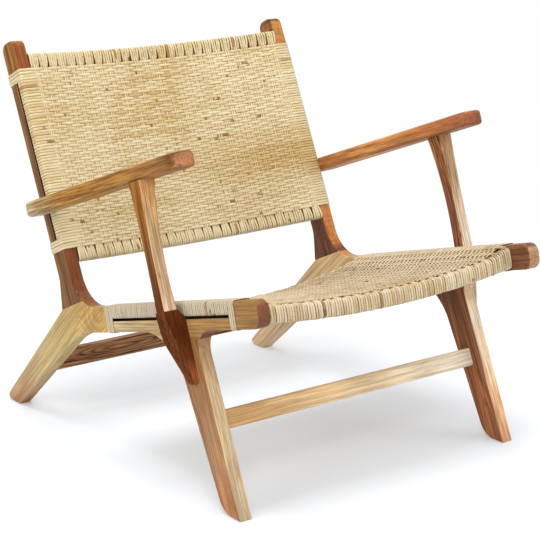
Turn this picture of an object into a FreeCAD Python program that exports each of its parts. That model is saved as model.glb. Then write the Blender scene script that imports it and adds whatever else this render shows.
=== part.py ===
import FreeCAD, Part
import os
import Sketcher

V = FreeCAD.Vector

# Driving dimensions in millimetres and degrees. "set" is a distance behind the front plane of the chair.
SIZES = {
    "clear_width": 587,         # between the two side frames
    "frame_thick": 26,          # side frames, across the chair
    "edge_radius": 3,           # softened edges of the frame timber
    "seat_pitch": 14.3,         # the side rails rise towards the front
    "seat_rise": 348.6,         # underside line of the side rail at the front plane
    "rail_depth": 47,
    "nose_radius": 18,
    "rail_joint": 465,          # rail to rear leg, along the rail
    "rail_bar": 20.5,           # bar above the slot that the seat strands wind round
    "rail_slot_width": 6,
    "rail_slot_front": 79,
    "rail_slot_rear": 448,
    "front_foot_set": 52,
    "front_foot_long": 49.5,
    "front_heel_radius": 40,
    "leg_head_set": 182,
    "leg_head_long": 70.4,
    "leg_front_fillet": 38,
    "leg_rear_fillet": 115,
    "leg_joint_drop": 14,       # rail to front leg, below the rail
    "rear_foot_set": 854,
    "rear_foot_long": 56,
    "rear_heel_radius": 9,
    "knee_set": 554.6,
    "knee_under_fillet": 190,
    "knee_fillet": 72,
    "knee_joint": 10,           # back post to rear leg, up the post
    "knee_flare": 18.7,
    "knee_flare_long": 55,
    "knee_rear_fillet": 60,
    "back_set": 555.4,
    "back_recline": 24.5,
    "post_depth": 46,
    "post_long": 525,
    "post_round": 16,
    "post_bar": 17,             # bar in front of the slot that the back strands wind round
    "post_slot_width": 5,
    "post_slot_low": 136,
    "post_slot_drop": 78,       # end of the slot, below the top of the post
    "arm_pitch": 19.6,
    "arm_set": 299,             # head of the arm post
    "arm_rise": 543.5,
    "arm_thick": 27,
    "arm_width": 52,
    "arm_front_long": 126,      # in front of the head of the arm post
    "arm_past_post": 40,        # behind the line where it meets the back post
    "arm_toe": 19,              # the arms close in towards the front
    "arm_front_round": 24,
    "arm_tail_round": 38,
    "arm_edge_radius": 6,
    "arm_post_gap": 12,         # clear of the wound side rail
    "arm_post_thick": 27,
    "arm_post_depth": 28,
    "foot_sunk": 8.3,           # joint of arm post and foot, below the top line of the rail
    "arm_post_flare": 7,
    "arm_post_flare_long": 70,
    "arm_post_edge": 4,
    "foot_tip_height": 214,
    "foot_tip_set": 21,
    "foot_tip_long": 22,
    "foot_tip_rise": 8,
    "foot_tip_thick": 6,
    "foot_tip_radius": 9,
    "foot_heel_drop": 52,
    "foot_heel_radius": 50,
    "foot_taper_drop": 4,
    "back_rail_thick": 16,
    "back_rail_depth": 27,
    "back_bow": 26,             # the back is hollowed by this much at its middle
    "top_rail_drop": 59,
    "bottom_rail_low": 91,
    "rail_edge": 6,             # rounded edges of the wound rails
    "seat_rail_thick": 27,
    "seat_rail_depth": 26,
    "front_rail_set": 45.5,
    "front_rail_low": 5,
    "front_sag": 20,            # the seat is dished by this much at its front edge
    "rear_rail_set": 450,
    "rear_rail_low": 14.5,
    "rear_sag": 34,
    "front_stretcher_height": 144,
    "front_stretcher_set": 25,
    "front_stretcher_thick": 20,
    "front_stretcher_depth": 34,
    "rear_stretcher_height": 115,
    "rear_stretcher_set": 682,
    "rear_stretcher_thick": 20,
    "rear_stretcher_depth": 38,
    "stretcher_edge": 5,
    "tenon_long": 14,
    "tenon_shoulder": 4,
    "weave_columns": 27,        # pairs of uprights in each woven panel
    "weave_thick": 4,
    "weave_gap": 0.3,
    "rail_clear": 1.3,          # seat rails inside the woven band
    "wrap_thick": 3,
    "strap_width": 22,
    "weave_round": 7,
    "rib_rise": 1.2,            # raised lines of the weave, above the woven surface
    "rib_width": 9,
    "rib_inset": 36,            # from the ends of the panel, clear of the wound rails
    "dowel_radius": 5,
    "dowel_long": 46,
    "cross_dowel_radius": 3,
    "cross_dowel_long": 38,
    "cross_dowel_sunk": 16,
    "knee_dowel_inset": 9,
    "rail_dowel_inset": 9,
    "rail_dowel_long": 30,
    "leg_dowel_spread": 36,
    "foot_dowel_radius": 4,
    "foot_dowel_long": 24,
    "foot_dowel_rise": 38,
    "screw_radius": 2.2,
    "screw_long": 38,
    "screw_head_radius": 4.2,
}

# Sizes and places worked out from the driving dimensions.
LAYOUT = {
    "half_clear": "clear_width / 2",
    "frame_outer": "half_clear + frame_thick",
    "tenon_half": "half_clear + tenon_long",
    "seat_z": "seat_rise",
    "back_z": "seat_rise + rail_depth / cos(seat_pitch) - back_set * tan(seat_pitch)",
    "arm_z": "arm_rise",
    "post_slot_high": "post_long - post_slot_drop",
    "top_rail_low": "post_long - top_rail_drop",
    "arm_meets_post": "((back_set - arm_set) * cos(back_recline) + (arm_rise - back_z) * sin(back_recline))"
                      " / cos(arm_pitch - back_recline)",
    "arm_rear_long": "arm_meets_post + arm_past_post",
    "screw_along": "arm_meets_post + (post_bar + post_slot_width + 1.3 * screw_head_radius)"
                   " / cos(arm_pitch - back_recline)",
    "arm_post_long": "(arm_set * sin(seat_pitch) + (arm_rise - seat_rise) * cos(seat_pitch) - rail_depth"
                     " + foot_sunk) / cos(arm_pitch - seat_pitch)",
    # side frame outline, from the front plane and the floor
    "front_heel_y": "front_foot_set + front_foot_long",
    "leg_front_z": "seat_rise - leg_head_set * tan(seat_pitch)",
    "leg_rear_y": "leg_head_set + leg_head_long",
    "leg_rear_z": "seat_rise - leg_rear_y * tan(seat_pitch)",
    "knee_z": "seat_rise - knee_set * tan(seat_pitch)",
    "rear_toe_y": "rear_foot_set - rear_foot_long",
    "nose_u": "nose_radius * ((1 - sin(seat_pitch)) / cos(seat_pitch) - 1)",
    "nose_low_y": "nose_u * cos(seat_pitch)",
    "nose_low_z": "seat_rise - nose_u * sin(seat_pitch)",
    "nose_top_y": "nose_low_y + rail_depth * sin(seat_pitch)",
    "nose_top_z": "nose_low_z + rail_depth * cos(seat_pitch)",
    "flare_depth": "post_depth + knee_flare",
    "flare_top": "knee_joint + knee_flare_long",
    "flare_y": "back_set + flare_depth * cos(back_recline) + knee_joint * sin(back_recline)",
    "flare_z": "back_z - flare_depth * sin(back_recline) + knee_joint * cos(back_recline)",
    "heel_angle": "atan(flare_z / (rear_foot_set - flare_y))",
    "heel_reach": "rear_heel_radius * (1 / tan(heel_angle / 2) - 1)",
    "chair_middle": "(rear_foot_set - heel_reach) / 2",
    "seat_y": "-chair_middle",
    "back_y": "back_set - chair_middle",
    "arm_y": "arm_set - chair_middle",
    "bend_y": "back_set + post_depth * cos(back_recline) + flare_top * sin(back_recline)",
    "bend_z": "back_z - post_depth * sin(back_recline) + flare_top * cos(back_recline)",
    "post_front_y": "back_set + post_long * sin(back_recline)",
    "post_front_z": "back_z + post_long * cos(back_recline)",
    "post_rear_y": "post_front_y + post_depth * cos(back_recline)",
    "post_rear_z": "post_front_z - post_depth * sin(back_recline)",
    "leg_lean": "(leg_head_set - front_foot_set) / leg_front_z",
    # arm post and its foot
    "arm_post_x": "frame_outer + arm_post_gap + arm_post_thick / 2",
    "post_half": "arm_post_thick / 2",
    "post_half_depth": "arm_post_depth / 2",
    "head_inner": "post_half + arm_post_flare",
    "head_depth": "post_half_depth + arm_post_flare / 2",
    "foot_thick": "arm_post_gap + arm_post_thick",
    "foot_axis_y": "arm_set - arm_post_long * sin(arm_pitch)",
    "foot_axis_z": "arm_rise - arm_post_long * cos(arm_pitch)",
    "foot_front_y": "foot_axis_y - post_half_depth * cos(arm_pitch)",
    "foot_front_z": "foot_axis_z + post_half_depth * sin(arm_pitch)",
    "foot_back_y": "foot_axis_y + post_half_depth * cos(arm_pitch)",
    "foot_back_z": "foot_axis_z - post_half_depth * sin(arm_pitch)",
    "foot_heel_z": "foot_back_z - foot_heel_drop",
    "tip_front_y": "front_foot_set + leg_lean * foot_tip_height + foot_tip_set",
    "tip_rear_y": "tip_front_y + foot_tip_long",
    "tip_rear_z": "foot_tip_height - foot_tip_rise",
    "relief_z": "foot_front_z - 1.6 * arm_post_gap",
    "foot_beyond": "foot_thick + 20",
    "foot_below": "tip_rear_z - 20",
    "foot_above": "foot_front_z + 20",
    "taper_top": "foot_back_z - foot_taper_drop",
    "arm_in_rear": "frame_outer",
    "arm_out_rear": "frame_outer + arm_width",
    "arm_in_front": "arm_in_rear - arm_toe",
    "arm_out_front": "arm_out_rear - arm_toe",
    # woven panels, round the wound rails
    "panel_half": "half_clear - weave_gap",
    "rail_half": "half_clear",
    "back_front": "-weave_thick",
    "back_rear": "back_rail_thick + 2 * weave_gap + weave_thick",
    "back_cavity": "back_rail_thick + 2 * weave_gap",
    "panel_low": "bottom_rail_low - weave_gap - weave_thick",
    "panel_high": "top_rail_low + back_rail_depth + weave_gap + weave_thick",
    "panel_long": "panel_high - panel_low",
    "cavity_low": "bottom_rail_low - weave_gap",
    "cavity_long": "panel_long - 2 * weave_thick",
    "back_rail_front": "weave_gap",
    "back_rail_rear": "weave_gap + back_rail_thick",
    "seat_front": "front_rail_set - weave_gap - weave_thick",
    "seat_rear": "rear_rail_set + seat_rail_thick + weave_gap + weave_thick",
    "cavity_front": "front_rail_set - weave_gap",
    "cavity_rear": "rear_rail_set + seat_rail_thick + weave_gap",
    "front_rail_end": "front_rail_set + seat_rail_thick",
    "rear_rail_end": "rear_rail_set + seat_rail_thick",
    "front_rail_high": "front_rail_low + seat_rail_depth",
    "rear_rail_high": "rear_rail_low + seat_rail_depth",
    "front_cavity_low": "front_rail_low - rail_clear",
    "front_cavity_high": "front_rail_high + rail_clear",
    "rear_cavity_low": "rear_rail_low - rail_clear",
    "rear_cavity_high": "rear_rail_high + rail_clear",
    "front_panel_low": "front_cavity_low - weave_thick",
    "front_panel_high": "front_cavity_high + weave_thick",
    "rear_panel_low": "rear_cavity_low - weave_thick",
    "rear_panel_high": "rear_cavity_high + weave_thick",
    "cavity_half": "half_clear",
    # raised lines of the weave, along the pairs of uprights
    "column_pitch": "clear_width / weave_columns",
    "back_proud_front": "back_front - rib_rise",
    "back_proud_rear": "back_rear + rib_rise",
    "front_proud_low": "front_panel_low - rib_rise",
    "front_proud_high": "front_panel_high + rib_rise",
    "rear_proud_low": "rear_panel_low - rib_rise",
    "rear_proud_high": "rear_panel_high + rib_rise",
}

doc = FreeCAD.newDocument("rattan_armchair")
sheet = doc.addObject("Spreadsheet::Sheet", "Sizes")
for row, (alias, value) in enumerate(list(SIZES.items()) + list(LAYOUT.items()), 1):
    cell = "A%d" % row
    sheet.set(cell, str(value) if alias in SIZES else "=" + value)
    sheet.setAlias(cell, alias)
doc.recompute()


def size(alias):
    return 0.0 if alias == "0" else float(sheet.get(alias))


def bind(obj, prop, formula):
    obj.setExpression(prop, formula)


# Four frames of reference: level, along the seat, along the back, and along the arm.
FRAMES = {"level": ("0", "Sizes.seat_y", "0"),
          "seat": ("Sizes.seat_pitch", "Sizes.seat_y", "Sizes.seat_z"),
          "back": ("Sizes.back_recline", "Sizes.back_y", "Sizes.back_z"),
          "arm": ("Sizes.arm_pitch", "Sizes.arm_y", "Sizes.arm_z")}


def place(obj, frame, across="0", along="0", rise="0", turn=0):
    """Puts an object in one of the frames; turn tips it further about the X axis."""
    pitch, origin_y, origin_z = FRAMES[frame]
    obj.Placement = FreeCAD.Placement(V(0, 0, 0), FreeCAD.Rotation(V(1, 0, 0), -1))
    bind(obj, "Placement.Rotation.Angle", "-(%s) - %g" % (pitch, turn))
    bind(obj, "Placement.Base.x", across)
    bind(obj, "Placement.Base.y",
         "%s + (%s) * cos(%s) + (%s) * sin(%s)" % (origin_y, along, pitch, rise, pitch))
    bind(obj, "Placement.Base.z",
         "%s - (%s) * sin(%s) + (%s) * cos(%s)" % (origin_z, along, pitch, rise, pitch))


def new_sketch(body, name, plane, offset):
    sketch = body.newObject("Sketcher::SketchObject", name)
    origin_plane = [f for f in body.Origin.OriginFeatures if f.Role == plane][0]
    sketch.AttachmentSupport = (origin_plane, [""])
    sketch.MapMode = "FlatFace"
    if offset != "0":
        bind(sketch, "AttachmentOffset.Base.z", offset)
    return sketch


def pin(sketch, geo, end, point):
    """Holds one end of a line at two named sizes."""
    for kind, alias in zip(("DistanceX", "DistanceY"), point):
        sign = alias.startswith("-")
        name = alias.lstrip("-")
        value = -size(name) if sign else size(name)
        index = sketch.addConstraint(Sketcher.Constraint(kind, -1, 1, geo, end, value))
        if name != "0":
            bind(sketch, "Constraints[%d]" % index, ("-" if sign else "") + "Sizes." + name)


def at(point):
    values = [-size(a.lstrip("-")) if a.startswith("-") else size(a) for a in point]
    return V(values[0], values[1], 0)


def polygon(body, name, plane, points, offset="0"):
    """A closed outline of straight lines through named points."""
    sketch = new_sketch(body, name, plane, offset)
    count = len(points)
    for i in range(count):
        sketch.addGeometry(Part.LineSegment(at(points[i]), at(points[(i + 1) % count])), False)
    for i in range(count):
        sketch.addConstraint(Sketcher.Constraint("Coincident", i, 2, (i + 1) % count, 1))
    for i, point in enumerate(points):
        pin(sketch, i, 1, point)
    return sketch


def bowed(body, name, plane, half, low, high, sag, down, offset="0"):
    """An outline with two upright ends and two arcs that sag by the same amount at the middle."""
    sketch = new_sketch(body, name, plane, offset)
    drop = V(0, -size(sag) if down else size(sag), 0)
    ends = ((half, low), (half, high), ("-" + half, high), ("-" + half, low))
    corner = [at(p) for p in ends]
    middle = [V(0, corner[1].y, 0) + drop, V(0, corner[0].y, 0) + drop]
    shapes = [Part.LineSegment(corner[0], corner[1]), Part.Arc(corner[1], middle[0], corner[2]),
              Part.LineSegment(corner[2], corner[3]), Part.Arc(corner[3], middle[1], corner[0])]
    for shape in shapes:
        sketch.addGeometry(shape, False)
    for arc, first, second in ((1, 0, 2), (3, 2, 0)):
        start = sketch.getPoint(arc, 1).distanceToPoint(sketch.getPoint(first, 2)) < 1e-6
        sketch.addConstraint(Sketcher.Constraint("Coincident", first, 2, arc, 1 if start else 2))
        sketch.addConstraint(Sketcher.Constraint("Coincident", second, 1, arc, 2 if start else 1))
        radius = (size(half) ** 2 + size(sag) ** 2) / (2 * size(sag))
        index = sketch.addConstraint(Sketcher.Constraint("Radius", arc, radius))
        bind(sketch, "Constraints[%d]" % index,
             "(Sizes.%s ^ 2 + Sizes.%s ^ 2) / (2 * Sizes.%s)" % (half, sag, sag))
    for geo, end, point in ((0, 1, ends[0]), (0, 2, ends[1]), (2, 1, ends[2]), (2, 2, ends[3])):
        pin(sketch, geo, end, point)
    return sketch


def new_body(name):
    return doc.addObject("PartDesign::Body", name)


def pad(body, sketch, length):
    feature = body.newObject("PartDesign::Pad", sketch.Name + "_pad")
    feature.Profile = sketch
    bind(feature, "Length", length)
    sketch.Visibility = False
    doc.recompute()
    return feature


def loft(body, sketches):
    feature = body.newObject("PartDesign::AdditiveLoft", sketches[0].Name + "_loft")
    feature.Profile = sketches[0]
    feature.Sections = sketches[1:]
    feature.Ruled = len(sketches) == 2
    doc.recompute()
    return feature


def cut_through(body, sketch):
    feature = body.newObject("PartDesign::Pocket", sketch.Name + "_cut")
    feature.Profile = sketch
    feature.Type = 1
    feature.Midplane = True
    doc.recompute()
    return feature


def round_edges(body, base, chosen, radius):
    """Rounds the edges of a feature that the test chooses."""
    names = ["Edge%d" % (i + 1) for i, edge in enumerate(base.Shape.Edges) if chosen(edge)]
    feature = body.newObject("PartDesign::Fillet", base.Name + "_round")
    feature.Base = (base, names)
    bind(feature, "Radius", "Sizes." + radius)
    doc.recompute()
    return feature


def crossing(point):
    """Chooses the edge that runs across the chair at a corner of an outline in the YZ plane."""
    y, z = size(point[0]), size(point[1])
    return lambda edge: all(abs(v.Y - y) < 1e-4 and abs(v.Z - z) < 1e-4 for v in edge.Vertexes)


def on_sides(low, high):
    """Chooses the edges that lie wholly in either of two planes across the chair."""
    def test(edge):
        ends = [v.X for v in edge.Vertexes] + [edge.valueAt(edge.FirstParameter)[0],
                                               edge.valueAt(edge.LastParameter)[0]]
        return any(all(abs(x - side) < 1e-4 for x in ends) for side in (low, high))
    return test


def box(name, frame, across, along, rise, length, width, height):
    solid = doc.addObject("Part::Box", name)
    bind(solid, "Length", length)
    bind(solid, "Width", width)
    bind(solid, "Height", height)
    place(solid, frame, across, along, rise)
    return solid


def boolean(kind, name, base, tool):
    result = doc.addObject("Part::" + kind, name)
    result.Base = base
    result.Tool = tool
    doc.recompute()
    return result


def group(name, members):
    result = doc.addObject("Part::Compound", name)
    result.Links = members
    doc.recompute()
    return result


def mirrored(name, source):
    result = doc.addObject("Part::Mirroring", name)
    result.Source = source
    result.Normal = V(1, 0, 0)
    doc.recompute()
    return result


nodes = {}


def keep(label, obj):
    obj.Label = label
    nodes[label] = obj


def keep_pair(name, obj):
    """Keeps a right-hand piece and its left-hand twin."""
    keep("right_" + name, obj)
    keep("left_" + name, mirrored("left_" + name, obj))


# Side frame: one outline for the front leg, side rail, rear leg and back post, with its sweeping corners.
OUTLINE = [("front_foot_set", "0"), ("front_heel_y", "0"), ("leg_rear_y", "leg_rear_z"),
           ("knee_set", "knee_z"), ("rear_toe_y", "0"), ("rear_foot_set", "0"), ("flare_y", "flare_z"),
           ("bend_y", "bend_z"),
           ("post_rear_y", "post_rear_z"), ("post_front_y", "post_front_z"), ("back_set", "back_z"),
           ("nose_top_y", "nose_top_z"), ("nose_low_y", "nose_low_z"), ("leg_head_set", "leg_front_z")]
CORNERS = [(OUTLINE[1], "front_heel_radius"), (OUTLINE[2], "leg_rear_fillet"),
           (OUTLINE[3], "knee_under_fillet"), (OUTLINE[5], "rear_heel_radius"),
           (OUTLINE[7], "knee_rear_fillet"), (OUTLINE[8], "post_round"),
           (OUTLINE[9], "post_round"), (OUTLINE[10], "knee_fillet"), (OUTLINE[11], "nose_radius"),
           (OUTLINE[12], "nose_radius"), (OUTLINE[13], "leg_front_fillet")]
blank = new_body("side_blank")
blank_top = pad(blank, polygon(blank, "side_outline", "YZ_Plane", OUTLINE), "Sizes.frame_thick")
for corner, radius in CORNERS:
    blank_top = round_edges(blank, blank_top, crossing(corner), radius)
blank_top = round_edges(blank, blank_top, on_sides(0, size("frame_thick")), "edge_radius")
place(blank, "level", "Sizes.half_clear")

# Dowels and screws of the right-hand side; each sits in the bores that it cuts in its neighbours.
def dowel(name, frame, across, along, rise, radius, length, turn=0):
    pin_solid = doc.addObject("Part::Cylinder", name)
    bind(pin_solid, "Radius", "Sizes." + radius)
    bind(pin_solid, "Height", "Sizes." + length)
    place(pin_solid, frame, across, along, rise, turn)
    return pin_solid


def cross_dowel(name, frame, across, along, rise, radius, length):
    """A dowel that runs across the chair."""
    pin_solid = dowel(name, frame, across, along, rise, radius, length)
    pin_solid.setExpression("Placement.Rotation.Angle", None)
    pin_solid.Placement.Rotation = FreeCAD.Rotation(V(0, 1, 0), 90)
    return pin_solid


MID_FRAME = "Sizes.half_clear + Sizes.frame_thick / 2"
knee_pair = group("right_knee_dowels", [
    dowel("knee_dowel_%d" % i, "back", MID_FRAME, along, "Sizes.knee_joint - Sizes.dowel_long / 2",
          "dowel_radius", "dowel_long")
    for i, along in enumerate(("Sizes.knee_dowel_inset", "Sizes.post_depth - Sizes.knee_dowel_inset"))])
rail_pair = group("right_rail_dowels", [
    dowel("rail_dowel_%d" % i, "seat", MID_FRAME, "Sizes.rail_joint - Sizes.rail_dowel_long / 2", rise,
          "dowel_radius", "rail_dowel_long", 90)
    for i, rise in enumerate(("Sizes.rail_dowel_inset", "Sizes.rail_depth - Sizes.rail_dowel_inset"))])
LEG_HEAD = "(Sizes.leg_head_set + Sizes.leg_head_long / 2) / cos(Sizes.seat_pitch)"
leg_pair = group("right_leg_dowels", [
    dowel("leg_dowel_%d" % i, "seat", MID_FRAME, LEG_HEAD + " + %g * Sizes.leg_dowel_spread" % side,
          "-Sizes.leg_joint_drop - Sizes.dowel_long / 2", "dowel_radius", "dowel_long")
    for i, side in enumerate((-0.5, 0.5))])
arm_pair = group("right_arm_dowels", [
    dowel("arm_dowel_head", "arm", "Sizes.arm_post_x", "0", "Sizes.arm_thick / 2 - Sizes.dowel_long",
          "dowel_radius", "dowel_long"),
    dowel("arm_dowel_foot", "arm", "Sizes.arm_post_x", "0", "-Sizes.arm_post_long - Sizes.dowel_long / 2",
          "dowel_radius", "dowel_long")])
FOOT_DOWEL_X = "Sizes.frame_outer - 0.6 * Sizes.foot_dowel_long"
foot_pair = group("right_foot_dowels", [
    cross_dowel("foot_dowel_rail", "seat", FOOT_DOWEL_X, LEG_HEAD,
                "(Sizes.rail_depth - Sizes.rail_bar - Sizes.rail_slot_width) / 2",
                "foot_dowel_radius", "foot_dowel_long"),
    cross_dowel("foot_dowel_leg", "level", FOOT_DOWEL_X,
                "(Sizes.tip_front_y + Sizes.tip_rear_y) / 2 + Sizes.leg_lean * Sizes.foot_dowel_rise",
                "Sizes.foot_tip_height + Sizes.foot_dowel_rise",
                "foot_dowel_radius", "foot_dowel_long")])
CROSS_X = "Sizes.half_clear + Sizes.cross_dowel_sunk - Sizes.cross_dowel_long"
cross_pair = group("right_cross_dowels", [
    cross_dowel(name, frame, CROSS_X, along, rise, "cross_dowel_radius", "cross_dowel_long")
    for name, frame, along, rise in (
        ("top_rail_dowel", "back", "Sizes.back_rail_rear / 2 + 1",
         "Sizes.top_rail_low + Sizes.back_rail_depth / 2"),
        ("bottom_rail_dowel", "back", "Sizes.back_rail_rear / 2 + 1",
         "Sizes.bottom_rail_low + Sizes.back_rail_depth / 2"),
        ("front_rail_dowel", "seat", "Sizes.front_rail_set + Sizes.seat_rail_thick / 2",
         "Sizes.front_rail_low + Sizes.seat_rail_depth / 2 - 1"),
        ("rear_rail_dowel", "seat", "Sizes.rear_rail_set + Sizes.seat_rail_thick / 4",
         "Sizes.rear_rail_low + Sizes.seat_rail_depth / 2 - 3"))])

screw_shank = cross_dowel("screw_shank", "arm", "Sizes.half_clear", "Sizes.screw_along",
                          "Sizes.arm_thick / 2", "screw_radius", "screw_long")
screw_head = doc.addObject("Part::Cone", "screw_head")
bind(screw_head, "Radius1", "Sizes.screw_head_radius")
bind(screw_head, "Radius2", "Sizes.screw_radius")
bind(screw_head, "Height", "Sizes.screw_head_radius")
place(screw_head, "arm", "Sizes.half_clear", "Sizes.screw_along", "Sizes.arm_thick / 2")
screw_head.setExpression("Placement.Rotation.Angle", None)
screw_head.Placement.Rotation = FreeCAD.Rotation(V(0, 1, 0), 90)
screw = boolean("Fuse", "right_arm_screw", screw_shank, screw_head)

# Stretchers: boards with rounded edges, tenoned into the legs.
def stretcher(name, frame_y, frame_z, lean, thick, depth):
    body = new_body(name)
    for part, half_long, shrink in (("board", "half_clear", "0"), ("tenon", "tenon_half", "tenon_shoulder")):
        outline = new_sketch(body, name + "_" + part, "YZ_Plane", "-Sizes.%s" % half_long)
        y, z = size(thick) / 2 - size(shrink), size(depth) / 2 - size(shrink)
        corner = [V(-y, -z, 0), V(y, -z, 0), V(y, z, 0), V(-y, z, 0)]
        for i in range(4):
            outline.addGeometry(Part.LineSegment(corner[i], corner[(i + 1) % 4]), False)
        for i in range(4):
            outline.addConstraint(Sketcher.Constraint("Coincident", i, 2, (i + 1) % 4, 1))
            outline.addConstraint(Sketcher.Constraint("Vertical" if i % 2 else "Horizontal", i))
        outline.addConstraint(Sketcher.Constraint("Symmetric", 0, 1, 1, 2, -1, 1))
        for geo, kind, alias, value in ((0, "DistanceX", thick, 2 * y), (1, "DistanceY", depth, 2 * z)):
            index = outline.addConstraint(Sketcher.Constraint(kind, geo, 1, geo, 2, value))
            bind(outline, "Constraints[%d]" % index, "Sizes.%s - 2 * %s" % (
                alias, "0" if shrink == "0" else "Sizes." + shrink))
        solid = pad(body, outline, "2 * Sizes.%s" % half_long)
        if part == "board":
            long_edges = lambda edge: abs(edge.Length - size("clear_width")) < 1e-3
            round_edges(body, solid, long_edges, "stretcher_edge")
    body.Placement = FreeCAD.Placement(V(0, 0, 0), FreeCAD.Rotation(V(1, 0, 0), -1))
    bind(body, "Placement.Rotation.Angle", lean)
    bind(body, "Placement.Base.y", "Sizes.seat_y + " + frame_y)
    bind(body, "Placement.Base.z", frame_z)
    doc.recompute()
    return body


LEG_ANGLE = "atan(Sizes.leg_lean)"
front_stretcher = stretcher(
    "front_stretcher",
    "Sizes.front_foot_set + Sizes.leg_lean * Sizes.front_stretcher_height"
    " + (Sizes.front_stretcher_set + Sizes.front_stretcher_thick / 2) / cos(%s)" % LEG_ANGLE,
    "Sizes.front_stretcher_height", "-" + LEG_ANGLE, "front_stretcher_thick", "front_stretcher_depth")
rear_stretcher = stretcher("rear_stretcher", "Sizes.rear_stretcher_set + Sizes.rear_stretcher_thick / 2",
                           "Sizes.rear_stretcher_height", "0 * Sizes.seat_pitch",
                           "rear_stretcher_thick", "rear_stretcher_depth")
keep("front_stretcher", front_stretcher)
keep("rear_stretcher", rear_stretcher)

# The side frame comes apart at three joints: post on knee, rail on knee, rail on front leg.
REACH = "900"
WIDE = "Sizes.frame_thick + 20"
OUTSIDE = "Sizes.half_clear - 10"
above_knee = box("above_knee", "back", OUTSIDE, "-300", "Sizes.knee_joint", WIDE, "600", REACH)
behind_rail = box("behind_rail", "seat", OUTSIDE, "Sizes.rail_joint", "-600", WIDE, REACH, "1400")
rail_zone = box("rail_zone", "seat", OUTSIDE, "Sizes.rail_joint - " + REACH, "-Sizes.leg_joint_drop",
                WIDE, REACH, "Sizes.rail_depth + 2 * Sizes.leg_joint_drop")
leg_zone = box("leg_zone", "seat", OUTSIDE, "Sizes.rail_joint - " + REACH,
               "-Sizes.leg_joint_drop - " + REACH, WIDE, REACH, REACH)
post_slot = box("post_slot", "back", OUTSIDE, "Sizes.post_bar", "Sizes.post_slot_low", WIDE,
                "Sizes.post_slot_width", "Sizes.post_slot_high - Sizes.post_slot_low")
rail_slot = box("rail_slot", "seat", OUTSIDE, "Sizes.rail_slot_front",
                "Sizes.rail_depth - Sizes.rail_bar - Sizes.rail_slot_width", WIDE,
                "Sizes.rail_slot_rear - Sizes.rail_slot_front", "Sizes.rail_slot_width")

post = boolean("Common", "post_stock", blank, above_knee)
knee_stock = boolean("Common", "knee_stock", blank, behind_rail)
knee = boolean("Cut", "knee", knee_stock, above_knee)
rail = boolean("Common", "rail_stock", blank, rail_zone)
leg = boolean("Common", "leg_stock", blank, leg_zone)

keep_pair("back_post", boolean("Cut", "right_back_post", post, group(
    "post_bores", [post_slot, knee_pair, cross_pair, screw])))
keep_pair("rear_leg", boolean("Cut", "right_rear_leg", knee, group(
    "knee_bores", [knee_pair, rail_pair, rear_stretcher])))
keep_pair("side_rail", boolean("Cut", "right_side_rail", rail, group(
    "rail_bores", [rail_slot, rail_pair, leg_pair, cross_pair, foot_pair])))
keep_pair("front_leg", boolean("Cut", "right_front_leg", leg, group(
    "leg_bores", [leg_pair, foot_pair, front_stretcher])))

# Bindings: the strand wound round the slotted bars, and the straps round the whole post or rail at its ends.
def winding(name, frame, along, rise, width, height, hole_along, hole_rise, hole_width, hole_height):
    """A channel round a bar that is open towards the panel."""
    outer = box(name + "_outer", frame, "Sizes.half_clear", along, rise,
                "Sizes.frame_thick + Sizes.wrap_thick", width, height)
    inner = box(name + "_inner", frame, "Sizes.half_clear - 1", hole_along, hole_rise,
                "Sizes.frame_thick + Sizes.weave_gap / 2 + 1", hole_width, hole_height)
    return boolean("Cut", name, outer, inner)


W = "Sizes.wrap_thick"
G = "Sizes.weave_gap / 2"
SLOT_LONG = "Sizes.post_slot_high - Sizes.post_slot_low"
post_binding = group("post_binding", [
    winding("post_winding", "back", "-" + W, "Sizes.post_slot_low", "Sizes.post_bar + 2 * " + W, SLOT_LONG,
            "-" + G, "Sizes.post_slot_low - 1", "Sizes.post_bar + 2 * " + G, SLOT_LONG + " + 2")] + [
    winding("post_strap_%s" % end, "back", "-" + W, low, "Sizes.post_depth + 2 * " + W, "Sizes.strap_width",
            "-" + G, low + " - 1", "Sizes.post_depth + 2 * " + G, "Sizes.strap_width + 2")
    for end, low in (("low", "Sizes.post_slot_low - Sizes.strap_width - " + G),
                     ("high", "Sizes.post_slot_high + " + G))])
RAIL_LONG = "Sizes.rail_slot_rear - Sizes.rail_slot_front"
BAR_LOW = "Sizes.rail_depth - Sizes.rail_bar"
rail_binding = group("right_seat_binding", [
    winding("rail_winding", "seat", "Sizes.rail_slot_front", BAR_LOW + " - " + W, RAIL_LONG,
            "Sizes.rail_bar + 2 * " + W, "Sizes.rail_slot_front - 1", BAR_LOW + " - " + G, RAIL_LONG + " + 2",
            "Sizes.rail_bar + 2 * " + G)] + [
    winding("rail_strap_%s" % end, "seat", along, "-" + W, "Sizes.strap_width", "Sizes.rail_depth + 2 * " + W,
            along + " - 1", "-" + G, "Sizes.strap_width + 2", "Sizes.rail_depth + 2 * " + G)
    for end, along in (("front", "Sizes.rail_slot_front - Sizes.strap_width - " + G),
                       ("rear", "Sizes.rail_slot_rear + " + G))])
keep_pair("seat_binding", rail_binding)

# Arm post: square to the arm, waisted, and flared under it.
post_body = new_body("arm_post_body")
sections = []
for name, offset, inner, depth in (("head", "0", "head_inner", "head_depth"),
                                   ("waist", "-Sizes.arm_post_flare_long", "post_half", "post_half_depth"),
                                   ("base", "-Sizes.arm_post_long", "post_half", "post_half_depth")):
    sections.append(polygon(post_body, "arm_post_" + name, "XY_Plane", [
        ("-" + inner, "-" + depth), ("post_half", "-" + depth), ("post_half", depth),
        ("-" + inner, depth)], offset))
post_solid = loft(post_body, sections)
upright = lambda edge: edge.BoundBox.ZLength > size("arm_post_long") / 2
round_edges(post_body, post_solid, upright, "arm_post_edge")
place(post_body, "arm", "Sizes.arm_post_x")

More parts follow.
